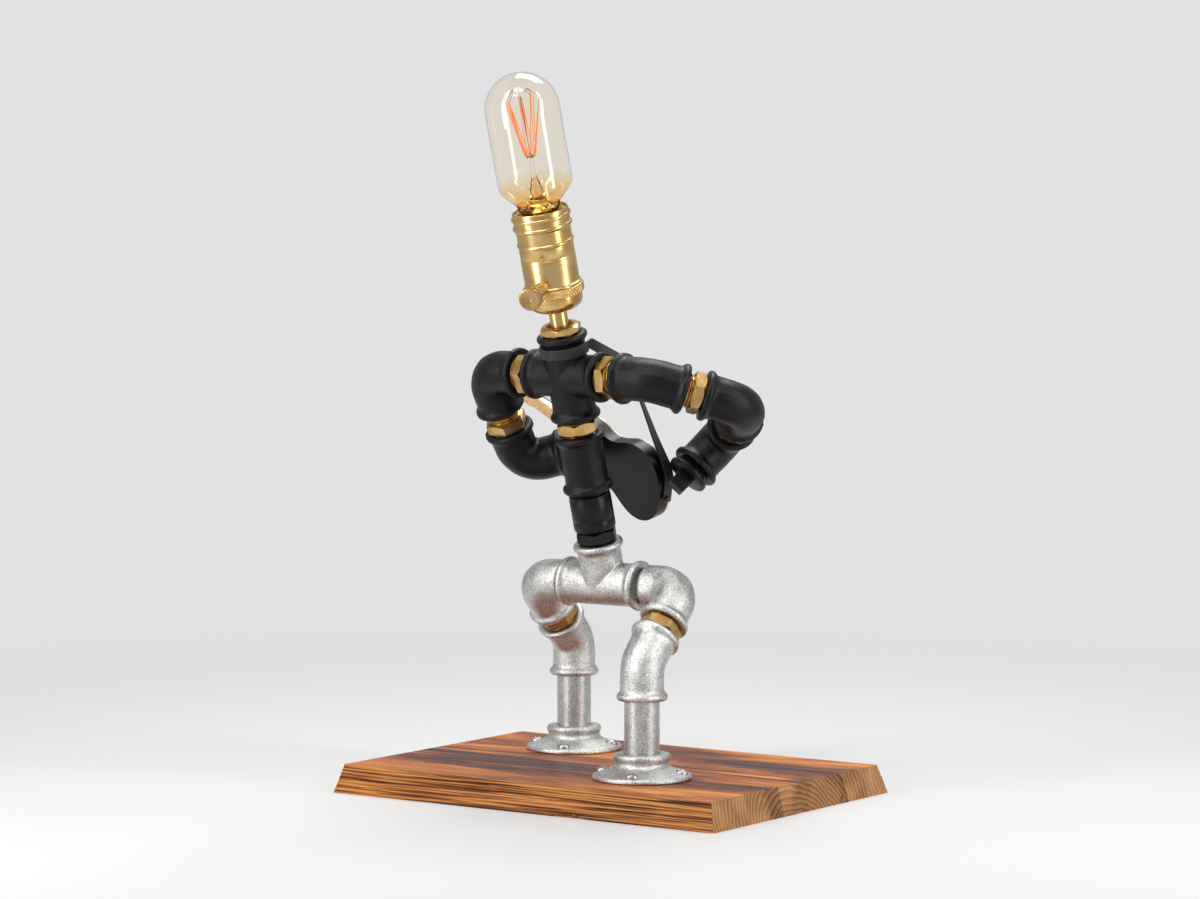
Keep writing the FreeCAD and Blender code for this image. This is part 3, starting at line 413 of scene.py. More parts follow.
def turn(bm, outline, steps=72, closed=True):
    # spins an outline of (radius, height) points once round Z
    verts = [bm.verts.new((radius, 0, height)) for radius, height in outline]
    pairs = list(zip(verts[:-1], verts[1:]))
    if closed:
        pairs.append((verts[-1], verts[0]))
    edges = [bm.edges.new(pair) for pair in pairs if pair[0].co.x > 0 or pair[1].co.x > 0]
    bmesh.ops.spin(bm, geom=verts + edges, cent=(0, 0, 0), axis=(0, 0, 1), angle=math.tau, steps=steps,
                   use_merge=True)


def closeUp(bm, closeness=0.002):
    bmesh.ops.remove_doubles(bm, verts=bm.verts, dist=closeness)
    bmesh.ops.recalc_face_normals(bm, faces=bm.faces)


def turnedPiece(outline, steps=72):
    bm = bmesh.new()
    turn(bm, outline, steps)
    closeUp(bm)
    return bm


def roughen(bm, depth, size, seed=0.0):
    # slow unevenness of a casting, in real geometry
    bm.normal_update()
    shift = Vector((seed, seed * 2, 3))
    moves = [(v, v.normal * noise.noise(v.co / size + shift) * depth) for v in bm.verts]
    for vert, move in moves:
        vert.co += move


def seam(bm, height, halfWidth, leastReach):
    # flash line where the two halves of the mould met, in the plane y = 0 of the casting
    bm.normal_update()
    for vert in bm.verts:
        if abs(vert.co.y) < halfWidth and abs(vert.normal.y) < 0.35 and leastReach(vert):
            vert.co += vert.normal * height * (1 - abs(vert.co.y) / halfWidth)


# Cast fittings

castSizes = {"body": 13.25, "bead": 15.5, "port": 10.55, "portDepth": 9.0, "elbowLeg": 28.0,
             "elbowCurve": 15.0, "kneeLeg": 22.0, "kneeCurve": 18.0, "crossLeg": 27.1, "streetLeg": 23.8,
             "couplingLength": 36.5, "seamHeight": 0.28, "seamWidth": 0.85, "unevenness": 0.22, "lump": 7.0}
# bead at a port and its fillet, as (distance from the face, radius less the bead's)
beadShape = ((0.0, -1.7), (0.3, -0.9), (1.0, -0.25), (2.1, 0.0), (3.2, -0.2), (4.0, -0.8), (4.7, -1.5),
             (5.5, -1.95), (6.6, -2.25))


def bentCasting(legIn, legOut, curve, angle, beadIn=True):
    # one ring of points is extruded from station to station round the bend, then into both ports
    size = castSizes
    setback = curve * math.tan(math.radians(angle) / 2)
    bendLength = math.radians(angle) * curve
    straightIn, straightOut = legIn - setback, legOut - setback
    total = straightIn + bendLength + straightOut
    skin = [(s, size["bead"] + r) for s, r in beadShape]
    start = skin if beadIn else [(0.0, size["body"] - 0.6), (0.6, size["body"])]
    finish = [(total - s, r) for s, r in reversed(skin)]
    count = 22
    low, high = start[-1][0], finish[0][0]
    middle = [(low + (high - low) * i / count, size["body"]) for i in range(1, count)]
    inner = size["port"]
    stations = [(size["portDepth"], inner), (0.9, inner), (0.0, inner + 0.8)] if beadIn else [(0.0, 1.0)]
    stations += start + middle + finish
    stations += [(total, inner + 0.8), (total - 0.9, inner), (total - size["portDepth"], inner)]

    def station(s, radius):
        if s <= straightIn:
            spot = Matrix.Translation((0, 0, s))
        elif s < straightIn + bendLength:
            turnBy = Matrix.Rotation((s - straightIn) / curve, 4, "Y")
            hub = Matrix.Translation((curve, 0, straightIn))
            spot = hub @ turnBy @ Matrix.Translation((-curve, 0, 0))
        else:
            end = outlet(legIn, legOut, angle)
            end.translation /= mm
            spot = end @ Matrix.Translation((0, 0, s - total))
        return spot @ Matrix.Diagonal((radius, radius, 1, 1))

    bm = bmesh.new()
    bmesh.ops.create_circle(bm, cap_ends=False, radius=1, segments=88)
    ring = list(bm.edges)
    now = station(*stations[0])
    bmesh.ops.transform(bm, matrix=now, verts=bm.verts)
    for s, radius in stations[1:]:
        made = bmesh.ops.extrude_edge_only(bm, edges=ring)["geom"]
        ring = [e for e in made if isinstance(e, bmesh.types.BMEdge)]
        after = station(s, radius)
        moved = [v for v in made if isinstance(v, bmesh.types.BMVert)]
        bmesh.ops.transform(bm, matrix=after @ now.inverted(), verts=moved)
        now = after
    bmesh.ops.holes_fill(bm, edges=[e for e in bm.edges if e.is_boundary], sides=0)
    closeUp(bm)
    return bm


def finishCasting(bm, seed):
    size = castSizes
    roughen(bm, size["unevenness"], size["lump"], seed)
    seam(bm, size["seamHeight"], size["seamWidth"], lambda vert: True)
    return bm


def branchedCasting(directions, leg, seed):
    # the legs are turned one by one, run together as one skin, and smoothed to fillet the crotches
    size = castSizes
    bm = bmesh.new()
    outline = [(0, -leg)] + [(size["body"], -leg), (size["body"], -beadShape[-1][0] - 1)]
    outline += [(size["bead"] + r, -s) for s, r in reversed(beadShape)]
    outline += [(size["port"] + 0.8, 0), (size["port"], -0.9), (size["port"], -size["portDepth"]),
                (0, -size["portDepth"])]
    for direction in directions:
        oneLeg = bmesh.new()
        turn(oneLeg, outline, 64)
        closeUp(oneLeg)
        if direction.cross(Vector((0, 0, 1))).length > 0.1:
            place = placeOn(direction * leg, direction, (0, 0, 1))
        else:
            place = placeOn(direction * leg, direction, (1, 0, 0))
        bmesh.ops.transform(oneLeg, matrix=place, verts=oneLeg.verts)
        legMesh = bpy.data.meshes.new("leg")
        oneLeg.to_mesh(legMesh)
        oneLeg.free()
        bm.from_mesh(legMesh)
        bpy.data.meshes.remove(legMesh)
    bmesh.ops.create_icosphere(bm, subdivisions=4, radius=size["body"])
    closeUp(bm, 1e-5)
    raw = bpy.data.meshes.new("branchedSkin")
    bm.to_mesh(raw)
    bm.free()
    holder = bpy.data.objects.new("branchedSkin", raw)
    scene.collection.objects.link(holder)
    skin = holder.modifiers.new("skin", "REMESH")
    skin.mode, skin.voxel_size = "VOXEL", 0.5
    soft = holder.modifiers.new("fillets", "SMOOTH")
    soft.factor, soft.iterations = 0.5, 6
    bpy.context.view_layer.update()
    done = holder.evaluated_get(bpy.context.evaluated_depsgraph_get())
    result = bmesh.new()
    result.from_mesh(done.to_mesh())
    bpy.data.objects.remove(holder)
    bpy.data.meshes.remove(raw)
    return finishCasting(result, seed)


ironSlot, zincSlot, brassSlot = "black_iron", "galvanized_iron", "brass"


def addElbow(node, place, legs, curve, angle, material, slotName, seed, beadIn=True):
    bm = finishCasting(bentCasting(legs[0], legs[1], curve, angle, beadIn), seed)
    return addPiece(node + "_cast", bm, place, material, node, slotName, sharpAngle=60)


# Nipples: hexagon bar turned down and threaded at both ends

nippleSizes = {"flats": 23.0, "hexHeight": 7.2, "major": 10.45, "depth": 1.05, "pitch": 1.814, "reach": 7.5,
               "seat": 0.5, "bore": 7.9}


def thread(bm, low, high, major, depth, pitch, turnSteps=40):
    # one turn of the thread's outline, spun and lifted together
    root = major - depth
    marks = ((root, 0.0), (root, 0.12), (major - 0.08, 0.44), (major, 0.5), (major - 0.08, 0.56),
             (root, 0.88), (root, 1.0))
    verts = [bm.verts.new((radius, 0, low + share * pitch)) for radius, share in marks]
    edges = [bm.edges.new(pair) for pair in zip(verts[:-1], verts[1:])]
    turns = max(1, math.ceil((high - low) / pitch) - 1)
    steps = turns * turnSteps
    bmesh.ops.spin(bm, geom=verts + edges, cent=(0, 0, 0), axis=(0, 0, 1), dvec=(0, 0, pitch / turnSteps),
                   angle=math.tau * turns, steps=steps, use_merge=False)
    bmesh.ops.remove_doubles(bm, verts=bm.verts, dist=0.004)


def hexCollar(bm, flats, low, high, hole, faceShare=0.93, chamfer=0.58):
    # a fine ring is drawn out to the six flats, raised, and its corners are cut back by a cone
    made = bmesh.ops.create_circle(bm, cap_ends=False, radius=flats / 2, segments=72)["verts"]
    for vert in made:
        around = math.degrees(math.atan2(vert.co.y, vert.co.x))
        fromFlat = (around % 60) - 30
        vert.co *= 1 / math.cos(math.radians(fromFlat))
        vert.co.z = low
    ring = list({e for v in made for e in v.link_edges})
    faceRadius = flats / 2 * faceShare + 0.4

    def lift(edges, height, toRadius=None):
        geom = bmesh.ops.extrude_edge_only(bm, edges=edges)["geom"]
        for vert in [v for v in geom if isinstance(v, bmesh.types.BMVert)]:
            flat = Vector((vert.co.x, vert.co.y, 0))
            if toRadius is not None:
                flat *= toRadius / flat.length
                vert.co = flat + Vector((0, 0, height))
            else:
                drop = max(0.0, flat.length - faceRadius) * chamfer
                vert.co.z = height - drop if height > (low + high) / 2 else height + drop
        return [e for e in geom if isinstance(e, bmesh.types.BMEdge)]

    for vert in made:
        vert.co.z = low + max(0.0, vert.co.xy.length - faceRadius) * chamfer
    under = lift(ring, low, faceRadius)
    lift(under, low, hole)
    upper = lift(ring, high)
    face = lift(upper, high, faceRadius)
    lift(face, high, hole)


def nipple(gap, hexStart=None):
    size = nippleSizes
    low = (gap - size["hexHeight"]) / 2 if hexStart is None else hexStart
    high = low + size["hexHeight"]
    bm = bmesh.new()
    hexCollar(bm, size["flats"], low, high, size["major"] - size["depth"] - 0.3)
    thread(bm, -size["reach"], low + 1.2, size["major"], size["depth"], size["pitch"])
    thread(bm, high - 1.6, gap + size["reach"], size["major"], size["depth"], size["pitch"])
    root, end = size["major"] - size["depth"] + 0.02, size["reach"] + 1
    turn(bm, [(size["bore"], -end), (root, -end), (root, gap + end), (size["bore"], gap + end)], 40)
    bmesh.ops.recalc_face_normals(bm, faces=bm.faces)
    return bm


def farHex(gap):
    return gap - nippleSizes["seat"] - nippleSizes["hexHeight"]


# Base board

boardSizes = {"length": 270.0, "width": 185.0, "thickness": 17.3, "flare": 4.9, "ridge": 0.32,
              "grooveWidth": 9.0, "grooveDepth": 4.0, "chipFrom": 26.0, "chipTo": 50.0, "chipHeight": 3.4}


def baseBoard():
    # a block drawn out to the flared shape, then its long sides are brushed into ridges along the grain
    size = boardSizes
    bm = bmesh.new()
    bmesh.ops.create_cube(bm, size=1.0)
    for vert in bm.verts:
        vert.co = Vector((vert.co.x * 2, vert.co.y * 2, vert.co.z + 0.5))
    lengthwiseEdges = [e for e in bm.edges if abs((e.verts[0].co - e.verts[1].co).x) > 1]
    bmesh.ops.subdivide_edges(bm, edges=lengthwiseEdges, cuts=179, use_grid_fill=True)
    upright = [e for e in bm.edges if abs((e.verts[0].co - e.verts[1].co).z) > 0.5]
    bmesh.ops.subdivide_edges(bm, edges=upright, cuts=27, use_grid_fill=True)
    crosswise = [e for e in bm.edges if abs((e.verts[0].co - e.verts[1].co).y) > 1]
    bmesh.ops.subdivide_edges(bm, edges=crosswise, cuts=91, use_grid_fill=True)
    grooveY = (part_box("shin_pipe_left")[0].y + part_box("shin_pipe_left")[1].y) / 2 / mm
    grooveX = (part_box("shin_pipe_left")[0].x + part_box("shin_pipe_left")[1].x) / 2 / mm
    for vert in bm.verts:
        across, along, up = vert.co.y, vert.co.x, vert.co.z
        flare = size["flare"] * (1 - up)
        x = along * (size["length"] / 2 + flare)
        y = across * (size["width"] / 2 + flare)
        z = up * size["thickness"]
        inside = min(1.0, min(up, 1 - up) * 12)
        if abs(across) > 0.999:
            sway = noise.noise(Vector((x / 45, 1, 0))) * 1.4
            grain = noise.noise(Vector((x / 60, across * 3, z / 0.62 + sway)))
            fine = noise.noise(Vector((x / 8, across * 9, z / 0.5)))
            y -= math.copysign(size["ridge"] * inside * (0.5 + grain + 0.35 * fine), across)
        if abs(along) > 0.999:
            x -= math.copysign(0.12 * inside * (0.5 + noise.noise(Vector((y / 2, z / 2, 5)))), along)
        if up > 0.999 and abs(across) < 0.999 and abs(along) < 0.999:
            z -= 0.06 * (1 + noise.noise(Vector((x / 50, y / 3, 0))))
        if up < 0.001 and x > grooveX and abs(y - grooveY) < size["grooveWidth"] / 2:
            share = (y - grooveY) / (size["grooveWidth"] / 2)
            z = size["grooveDepth"] * math.sqrt(max(0.0, 1 - share * share))
        if across < -0.999 and size["chipFrom"] < x < size["chipTo"] and z < size["chipHeight"]:
            share = (x - size["chipFrom"]) / (size["chipTo"] - size["chipFrom"])
            torn = 0.75 + 0.5 * noise.noise(Vector((x / 3, 0, 7)))
            top = size["chipHeight"] * math.sin(math.pi * share) * torn
            if z < top:
                y += 1.6 * (1 - z / max(top, 0.1))
        vert.co = Vector((x, y, z))
    closeUp(bm, 1e-4)
    return bm


board = addPiece("base_board_burnt", baseBoard(), Matrix.Identity(4), burntWood, "base_board", "burnt_wood",
                 sharpAngle=50)
boardTop = boardSizes["thickness"] * mm
print("board made")


# Legs

legSizes = {"kneeHeight": 69.24, "flangeHeight": 15.6, "thighGap": 9.04,
            "reachRight": 56.2, "reachLeft": 52.9, "waistGap": 8.6, "socketLength": 23.0, "chestGap": 9.9}
flangeSizes = {"radius": 30.2, "edge": 3.4, "hub": 17.2, "foot": 21.5, "port": 10.7,
               "screwCircle": 24.4, "screwAngle": 20.0, "screws": 4}


def footCentre(node):
    low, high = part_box(node)
    return Vector(((low.x + high.x) / 2, (low.y + high.y) / 2, boardTop))


rightFoot, leftFoot = footCentre("shin_pipe_right"), footCentre("shin_pipe_left")
teeLow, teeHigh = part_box("hip_tee")
legRun = (leftFoot.y - rightFoot.y) / 2
hips = Vector(((teeLow.x + teeHigh.x) / 2, (leftFoot.y + rightFoot.y) / 2,
               boardTop + legSizes["kneeHeight"] * mm + legRun))


def floorFlange():
    size = flangeSizes
    top, hub = legSizes["flangeHeight"], size["hub"]
    bm = turnedPiece([
        (size["port"], 0.05), (size["radius"] - 0.6, 0.05), (size["radius"] - 0.1, 0.5),
        (size["radius"], 1.3), (size["radius"] - 0.35, 2.4), (size["radius"] - 1.2, 3.1),
        (size["radius"] - 2.4, size["edge"]), (27.0, 3.75), (24.0, 4.6), (size["foot"], 5.5), (19.6, 6.2),
        (18.0, 7.0), (16.7, 8.1), (16.15, 9.3), (16.2, 10.6), (16.7, 11.6), (hub - 0.1, 12.3), (hub, 13.2),
        (hub - 0.15, 14.1), (hub - 0.7, 14.9), (hub - 1.6, 15.4), (hub - 2.6, top),
        (size["port"] + 0.9, top), (size["port"], top - 0.9)], 96)
    return bm


def screwHead():
    # pan head with a cross recess
    bm = turnedPiece([(0, -2.0), (3.9, -2.0), (3.95, 0.0), (3.9, 0.7), (3.4, 1.5), (2.6, 2.1), (1.6, 2.38),
                      (0, 2.4)], 32)
    for vert in bm.verts:
        radius = vert.co.xy.length
        arm = min(abs(vert.co.x), abs(vert.co.y))
        if vert.co.z > 1.4 and radius < 2.4 and arm < 0.5:
            vert.co.z -= 1.2 * (1 - radius / 2.6)
    return bm


screws = bmesh.new()
for sideName, foot, seed in (("right", rightFoot, 1.0), ("left", leftFoot, 4.0)):
    bend = 1 if sideName == "right" else -1
    place = placeOn(foot, (0, 0, 1), (1, 0, 0))
    flange = floorFlange()
    roughen(flange, 0.2, 6.0, seed)
    addPiece("flange_" + sideName + "_cast", flange, place, galvanizedCastIron, "flange_" + sideName,
             zincSlot)
    for i in range(flangeSizes["screws"]):
        spot = place @ Matrix.Rotation(math.radians(flangeSizes["screwAngle"] + 90 * i), 4, "Z")
        spot = spot @ Matrix.Translation((flangeSizes["screwCircle"] * mm, 0, 4.0 * mm))
        spot = spot @ Matrix.Rotation(seed + 1.3 * i, 4, "Z") @ Matrix.Scale(mm, 4)
        head = screwHead()
        bmesh.ops.transform(head, matrix=Matrix.Scale(1000, 4) @ spot, verts=head.verts)
        headMesh = bpy.data.meshes.new("head")
        head.to_mesh(headMesh)
        head.free()
        screws.from_mesh(headMesh)
        bpy.data.meshes.remove(headMesh)
    kneeBase = foot + Vector((0, 0, (legSizes["kneeHeight"] - castSizes["kneeLeg"]) * mm))
    knee = placeOn(kneeBase, (0, 0, 1), (0, bend, 0))
    legs = (castSizes["kneeLeg"], castSizes["kneeLeg"])
    addElbow("knee_elbow_" + sideName, knee, legs, castSizes["kneeCurve"], 45, galvanizedCastIron, zincSlot,
             seed + 1)
    thigh = knee @ outlet(legs[0], legs[1], 45)
    addPiece("thigh_nipple_" + sideName + "_brass", nipple(legSizes["thighGap"]), thigh, fittingBrass,
             "thigh_nipple_" + sideName, brassSlot)
    reach = legSizes["reachRight"] if sideName == "right" else legSizes["reachLeft"]
    castStart = hips + Vector((bend * (reach - castSizes["streetLeg"]) * mm, 0, 0))
    hip = placeOn(castStart, (bend, 0, 0), (0, -bend, -1))
    addElbow("hip_elbow_" + sideName, hip, (castSizes["streetLeg"], castSizes["elbowLeg"]),
             castSizes["elbowCurve"], 90, galvanizedCastIron, zincSlot, seed + 2, beadIn=False)
addPiece("flange_screws_zinc", screws, Matrix.Identity(4), zincScrew, "flange_screws", "zinc_screw")
print("legs made")


# Torso

tee = placeOn(hips, torsoUp, (1, 0, 0))
teeWays = [Vector((1, 0, 0)), Vector((-1, 0, 0)), Vector((0, 0, 1))]
teeCast = branchedCasting(teeWays, castSizes["elbowLeg"], 7.0)
addPiece("hip_tee_cast", teeCast, tee, galvanizedCastIron, "hip_tee", zincSlot, sharpAngle=70)

waist = tee @ slide(castSizes["elbowLeg"])
addPiece("waist_nipple_painted", nipple(legSizes["waistGap"]), waist, blackPaintedIron, "waist_nipple",
         ironSlot)
socketBase = waist @ slide(legSizes["waistGap"])
socketHeight = legSizes["socketLength"]
socketShape = turnedPiece([(10.5, 0), (11.9, 0), (12.6, 0.35), (12.9, 1.1), (12.9, 6.0), (12.82, 6.2),
                           (12.82, 6.5), (12.9, 6.7), (12.9, socketHeight - 3.0),
                           (12.7, socketHeight - 2.6), (12.7, socketHeight - 0.5), (12.3, socketHeight),
                           (10.5, socketHeight)], 96)
addPiece("waist_socket_painted", socketShape, socketBase, blackSocketPaint, "waist_socket", ironSlot)

shoulders = placeOn(neckPoint - torsoUp * castSizes["crossLeg"] * mm, torsoUp, acrossShoulders)
chest = shoulders @ slide(-castSizes["crossLeg"] - legSizes["chestGap"])
addPiece("chest_nipple_brass", nipple(legSizes["chestGap"]), chest, fittingBrass, "chest_nipple", brassSlot)
coupling = chest @ slide(-castSizes["couplingLength"])


def beadedCoupling():
    size = castSizes
    length = size["couplingLength"]
    outside = [(size["bead"] + r, s) for s, r in beadShape]
    beadEnd = beadShape[-1][0]
    middle = [(size["body"], beadEnd + (length - 2 * beadEnd) * i / 10) for i in range(1, 10)]
    outline = [(size["port"], 9), (size["port"], 0.9), (size["port"] + 0.8, 0)] + outside + middle
    outline += [(r, length - s) for r, s in reversed(outside)]
    outline += [(size["port"] + 0.8, length), (size["port"], length - 0.9), (size["port"], length - 9)]
    return finishCasting(turnedPiece(outline, 96), 12.0)


addPiece("torso_coupling_cast", beadedCoupling(), coupling, blackPaintedIron, "torso_coupling", ironSlot,
         sharpAngle=60)
crossCast = branchedCasting(teeWays + [Vector((0, 0, -1))], castSizes["crossLeg"], 9.0)
addPiece("shoulder_cross_cast", crossCast, shoulders, blackPaintedIron, "shoulder_cross", ironSlot,
         sharpAngle=70)
print("torso made")


# Arms: each joint's axis gives the way that the next fitting runs

armSizes = {"rightShoulder": 12.43, "rightElbow": 10.94, "rightWrist": 14.32, "rightWristRoll": -60.8,
            "leftShoulder": 9.25, "leftElbow": 13.69, "leftElbowRoll": -31.7, "plugGap": 3.4}


def jointAxis(name):
    return Vector(joints[name]["axis"]).normalized()


def jointPoint(name):
    return Vector(joints[name]["pos_m"])


plugSizes = {"flange": 13.5, "flangeHeight": 3.5, "square": 11.0, "taper": 0.95, "edge": 0.9}


def squarePlug():
    # threaded plug with a round flange and a square head
    size, outer = plugSizes, plugSizes["flange"]
    bm = bmesh.new()
    gap = armSizes["plugGap"]
    low = gap + size["flangeHeight"]
    turn(bm, [(0, gap), (outer - 0.9, gap), (outer - 0.2, gap + 0.4), (outer, gap + 1.2),
              (outer, low - 1.2), (outer - 0.3, low - 0.4), (outer - 1.0, low), (0, low)], 64)
    head = bmesh.ops.create_cube(bm, size=size["square"])["verts"]
    bmesh.ops.translate(bm, verts=head, vec=(0, 0, low + 5.0))
    for vert in head:
        if vert.co.z > low + 6:
            vert.co.x *= size["taper"]
            vert.co.y *= size["taper"]
    edges = list({e for v in head for e in v.link_edges})
    bmesh.ops.bevel(bm, geom=edges, offset=size["edge"], offset_type="OFFSET", affect="EDGES", segments=3,
                    profile=0.5, material=-1, clamp_overlap=True)
    screwed = nippleSizes
    thread(bm, -screwed["reach"], gap + 1.4, screwed["major"], screwed["depth"], screwed["pitch"])
    closeUp(bm, 1e-4)
    roughen(bm, 0.12, 3.0, 2.0)
    return bm


size = castSizes
kneeLegs, elbowLegs = (size["kneeLeg"],) * 2, (size["elbowLeg"],) * 2
shoulderRight = placeOn(jointPoint("right_shoulder_swivel"), acrossShoulders,
                        jointAxis("right_elbow_swivel"))
addPiece("shoulder_nipple_right_brass", nipple(armSizes["rightShoulder"], nippleSizes["seat"]),
         shoulderRight, fittingBrass, "shoulder_nipple_right", brassSlot)
upperRight = shoulderRight @ slide(armSizes["rightShoulder"])
addElbow("right_upper_elbow", upperRight, kneeLegs, size["kneeCurve"], 45, blackPaintedIron, ironSlot, 21.0)
armRight = placeOn(jointPoint("right_elbow_swivel"), jointAxis("right_elbow_swivel"),
                   jointAxis("right_wrist_swivel"))
addPiece("right_arm_nipple_brass", nipple(armSizes["rightElbow"], farHex(armSizes["rightElbow"])), armRight,
         fittingBrass, "right_arm_nipple", brassSlot)
bendRight = armRight @ slide(armSizes["rightElbow"])
addElbow("right_elbow", bendRight, elbowLegs, size["elbowCurve"], 90, blackPaintedIron, ironSlot, 22.0)
wristRight = bendRight @ outlet(*elbowLegs, 90)
addPiece("right_wrist_nipple_brass", nipple(armSizes["rightWrist"]), wristRight, fittingBrass,
         "right_wrist_nipple", brassSlot)
forearmRight = wristRight @ slide(armSizes["rightWrist"], armSizes["rightWristRoll"])
addElbow("right_forearm_elbow", forearmRight, elbowLegs, size["elbowCurve"], 90, blackPaintedIron, ironSlot,
         23.0)
addPiece("right_hand_plug_cast", squarePlug(), forearmRight @ outlet(*elbowLegs, 90), blackPaintedIron,
         "right_hand_plug", ironSlot)

shoulderLeft = placeOn(jointPoint("left_shoulder_swivel"), -acrossShoulders, jointAxis("left_elbow_swivel"))
addPiece("shoulder_nipple_left_brass", nipple(armSizes["leftShoulder"]), shoulderLeft, fittingBrass,
         "shoulder_nipple_left", brassSlot)
upperLeft = shoulderLeft @ slide(armSizes["leftShoulder"])
addElbow("left_upper_elbow", upperLeft, elbowLegs, size["elbowCurve"], 90, blackPaintedIron, ironSlot, 24.0)
armLeft = upperLeft @ outlet(*elbowLegs, 90)
addPiece("left_arm_nipple_brass", nipple(armSizes["leftElbow"], farHex(armSizes["leftElbow"])), armLeft,
         fittingBrass, "left_arm_nipple", brassSlot)
lowerLeft = armLeft @ slide(armSizes["leftElbow"], armSizes["leftElbowRoll"])
addElbow("left_lower_elbow", lowerLeft, elbowLegs, size["elbowCurve"], 90, blackPaintedIron, ironSlot, 25.0)
addPiece("left_hand_plug_cast", squarePlug(), lowerLeft @ outlet(*elbowLegs, 90), blackPaintedIron,
         "left_hand_plug", ironSlot)
print("arms made")


# Lampholder, with heights above the top of the cross

headSizes = {"shell": 16.6, "ring": 18.5, "ringLow": 25.4, "ringHigh": 30.8, "shellHigh": 78.2,
             "knurls": 60, "knurlDepth": 0.6, "knobRadius": 6.9, "knobWidth": 4.6, "reach": 41.5,
             "shaft": 2.9, "collar": 3.9, "shadeBore": 17.15, "shadeRing": 18.1,
             "shadeHeights": (68.2, 74.0)}
neck = placeOn(neckPoint, torsoUp, acrossShoulders)


def reducer():
    bm = bmesh.new()
    hexCollar(bm, 23.0, 0.1, 5.4, 8.6, 0.9)
    thread(bm, -nippleSizes["reach"], 1.0, nippleSizes["major"], nippleSizes["depth"], nippleSizes["pitch"])
    turn(bm, [(8.6, 5.4), (8.5, 5.1), (8.3, 2.4), (5.6, 2.4), (5.6, -8), (9.3, -8), (9.3, 0.12)], 72,
         closed=False)
    bmesh.ops.recalc_face_normals(bm, faces=bm.faces)
    return bm


def knurl(bm, low, high, radius, teeth, depth):
    # crossed cuts leave rows of small points
    for vert in bm.verts:
        reach = vert.co.xy.length
        if reach > radius - 0.05 and low < vert.co.z < high:
            around = math.atan2(vert.co.y, vert.co.x) * teeth / 2
            rise = (vert.co.z - low) * teeth / 2 / radius
            cut = min(abs(math.sin(around + rise)), abs(math.sin(around - rise)))
            scale = (radius - depth * (1 - cut)) / reach
            vert.co.x *= scale
            vert.co.y *= scale


def knurledRing():
    size = headSizes
    low, high, outer = size["ringLow"], size["ringHigh"], size["ring"]
    rows = [(outer, low + 0.75 + (high - low - 1.5) * i / 22) for i in range(23)]
    bm = turnedPiece([(15.9, low), (outer - 0.9, low), (outer - 0.3, low + 0.25)] + rows +
                     [(outer - 0.3, high - 0.25), (outer - 0.9, high), (15.9, high)], size["knurls"] * 6)
    knurl(bm, low + 0.6, high - 0.6, outer, size["knurls"], size["knurlDepth"])
    return bm


def shellShape():
    r, top = headSizes["shell"], headSizes["shellHigh"]
    return turnedPiece([
        (15.8, 30.9), (17.2, 30.9), (17.5, 31.2), (17.5, 31.9), (17.2, 32.2), (r + 0.1, 32.5), (r, 32.9),
        (r, 48.9), (r - 0.15, 49.1), (r - 0.4, 49.45), (r - 0.4, 49.75), (r - 0.15, 50.1), (r, 50.3),
        (r, 56.6), (r + 0.25, 56.8), (r + 0.65, 57.3), (r + 0.8, 57.8), (r + 0.65, 58.3), (r + 0.25, 58.8),
        (r, 59.0), (r, 66.4), (r + 0.5, 66.9), (r + 0.5, 77.2), (r + 0.3, 77.7), (r - 0.1, top),
        (15.9, top - 0.1), (15.8, top - 0.5)], 128)


def shadeRing(height):
    # the upper half of the outline mirrors the lower one
    r, outer = headSizes["shadeBore"], headSizes["shadeRing"]
    half = [(r, 1.2), (r + 0.3, 1.2), (outer - 0.25, 0.85), (outer, 0.4)]
    outline = [(reach, height - rise) for reach, rise in half]
    outline += [(reach, height + rise) for reach, rise in reversed(half)]
    return turnedPiece(outline, 128)


addPiece("neck_reducer_brass", reducer(), neck, fittingBrass, "neck_reducer", brassSlot, bevelWidth=0.15)
stemOutline = [(4, -9), (5.5, -9), (5.5, 16.9), (5.3, 17.3), (4, 17.3)]
addPiece("lamp_stem_brass", turnedPiece(stemOutline), neck, lampBrass, "lamp_stem", brassSlot)
capShape = turnedPiece([
    (5.56, 14.4), (7.6, 14.4), (8.4, 14.55), (8.9, 14.9), (10.6, 15.2), (12.4, 15.8), (14.1, 16.8),
    (15.4, 18.1), (16.25, 19.6), (16.6, 21.2), (16.6, 25.3), (15.9, 25.3), (15.9, 21.3), (15.5, 19.9),
    (14.7, 18.6), (13.6, 17.5), (12.1, 16.6), (10.4, 16.1), (8.4, 15.8), (5.56, 15.8)], 112)
addPiece("lampholder_cap_brass", capShape, neck, lampBrass, "lampholder_cap", brassSlot)
addPiece("lampholder_ring_brass", knurledRing(), neck, lampBrass, "lampholder_ring", brassSlot,
         sharpAngle=60)
addPiece("lampholder_shell_brass", shellShape(), neck, lampBrass, "lampholder_shell", brassSlot)
for level, height in zip(("lower", "upper"), headSizes["shadeHeights"]):
    node = "shade_ring_" + level
    addPiece(node + "_brass", shadeRing(height), neck, lampBrass, node, brassSlot)

knobPlace = placeOn(jointPoint("switch_turn"), knobAxis, torsoUp)


def shaftShape():
    size = headSizes
    low, high, outer = size["reach"] - 23.0, size["reach"] - size["knobWidth"] - 0.1, size["collar"]
    rows = [(outer, low + (high - 1.6 - low) * i / 44) for i in range(45)]
    bm = turnedPiece([(0, 4.5), (size["shaft"], 4.5), (size["shaft"], low - 0.3)] + rows +
                     [(outer - 0.4, high - 1.3), (size["shaft"], high - 1.2), (size["shaft"], high),
                      (0, high)], 120)
    knurl(bm, low + 0.1, high - 1.7, outer, 20, 0.4)
    return bm


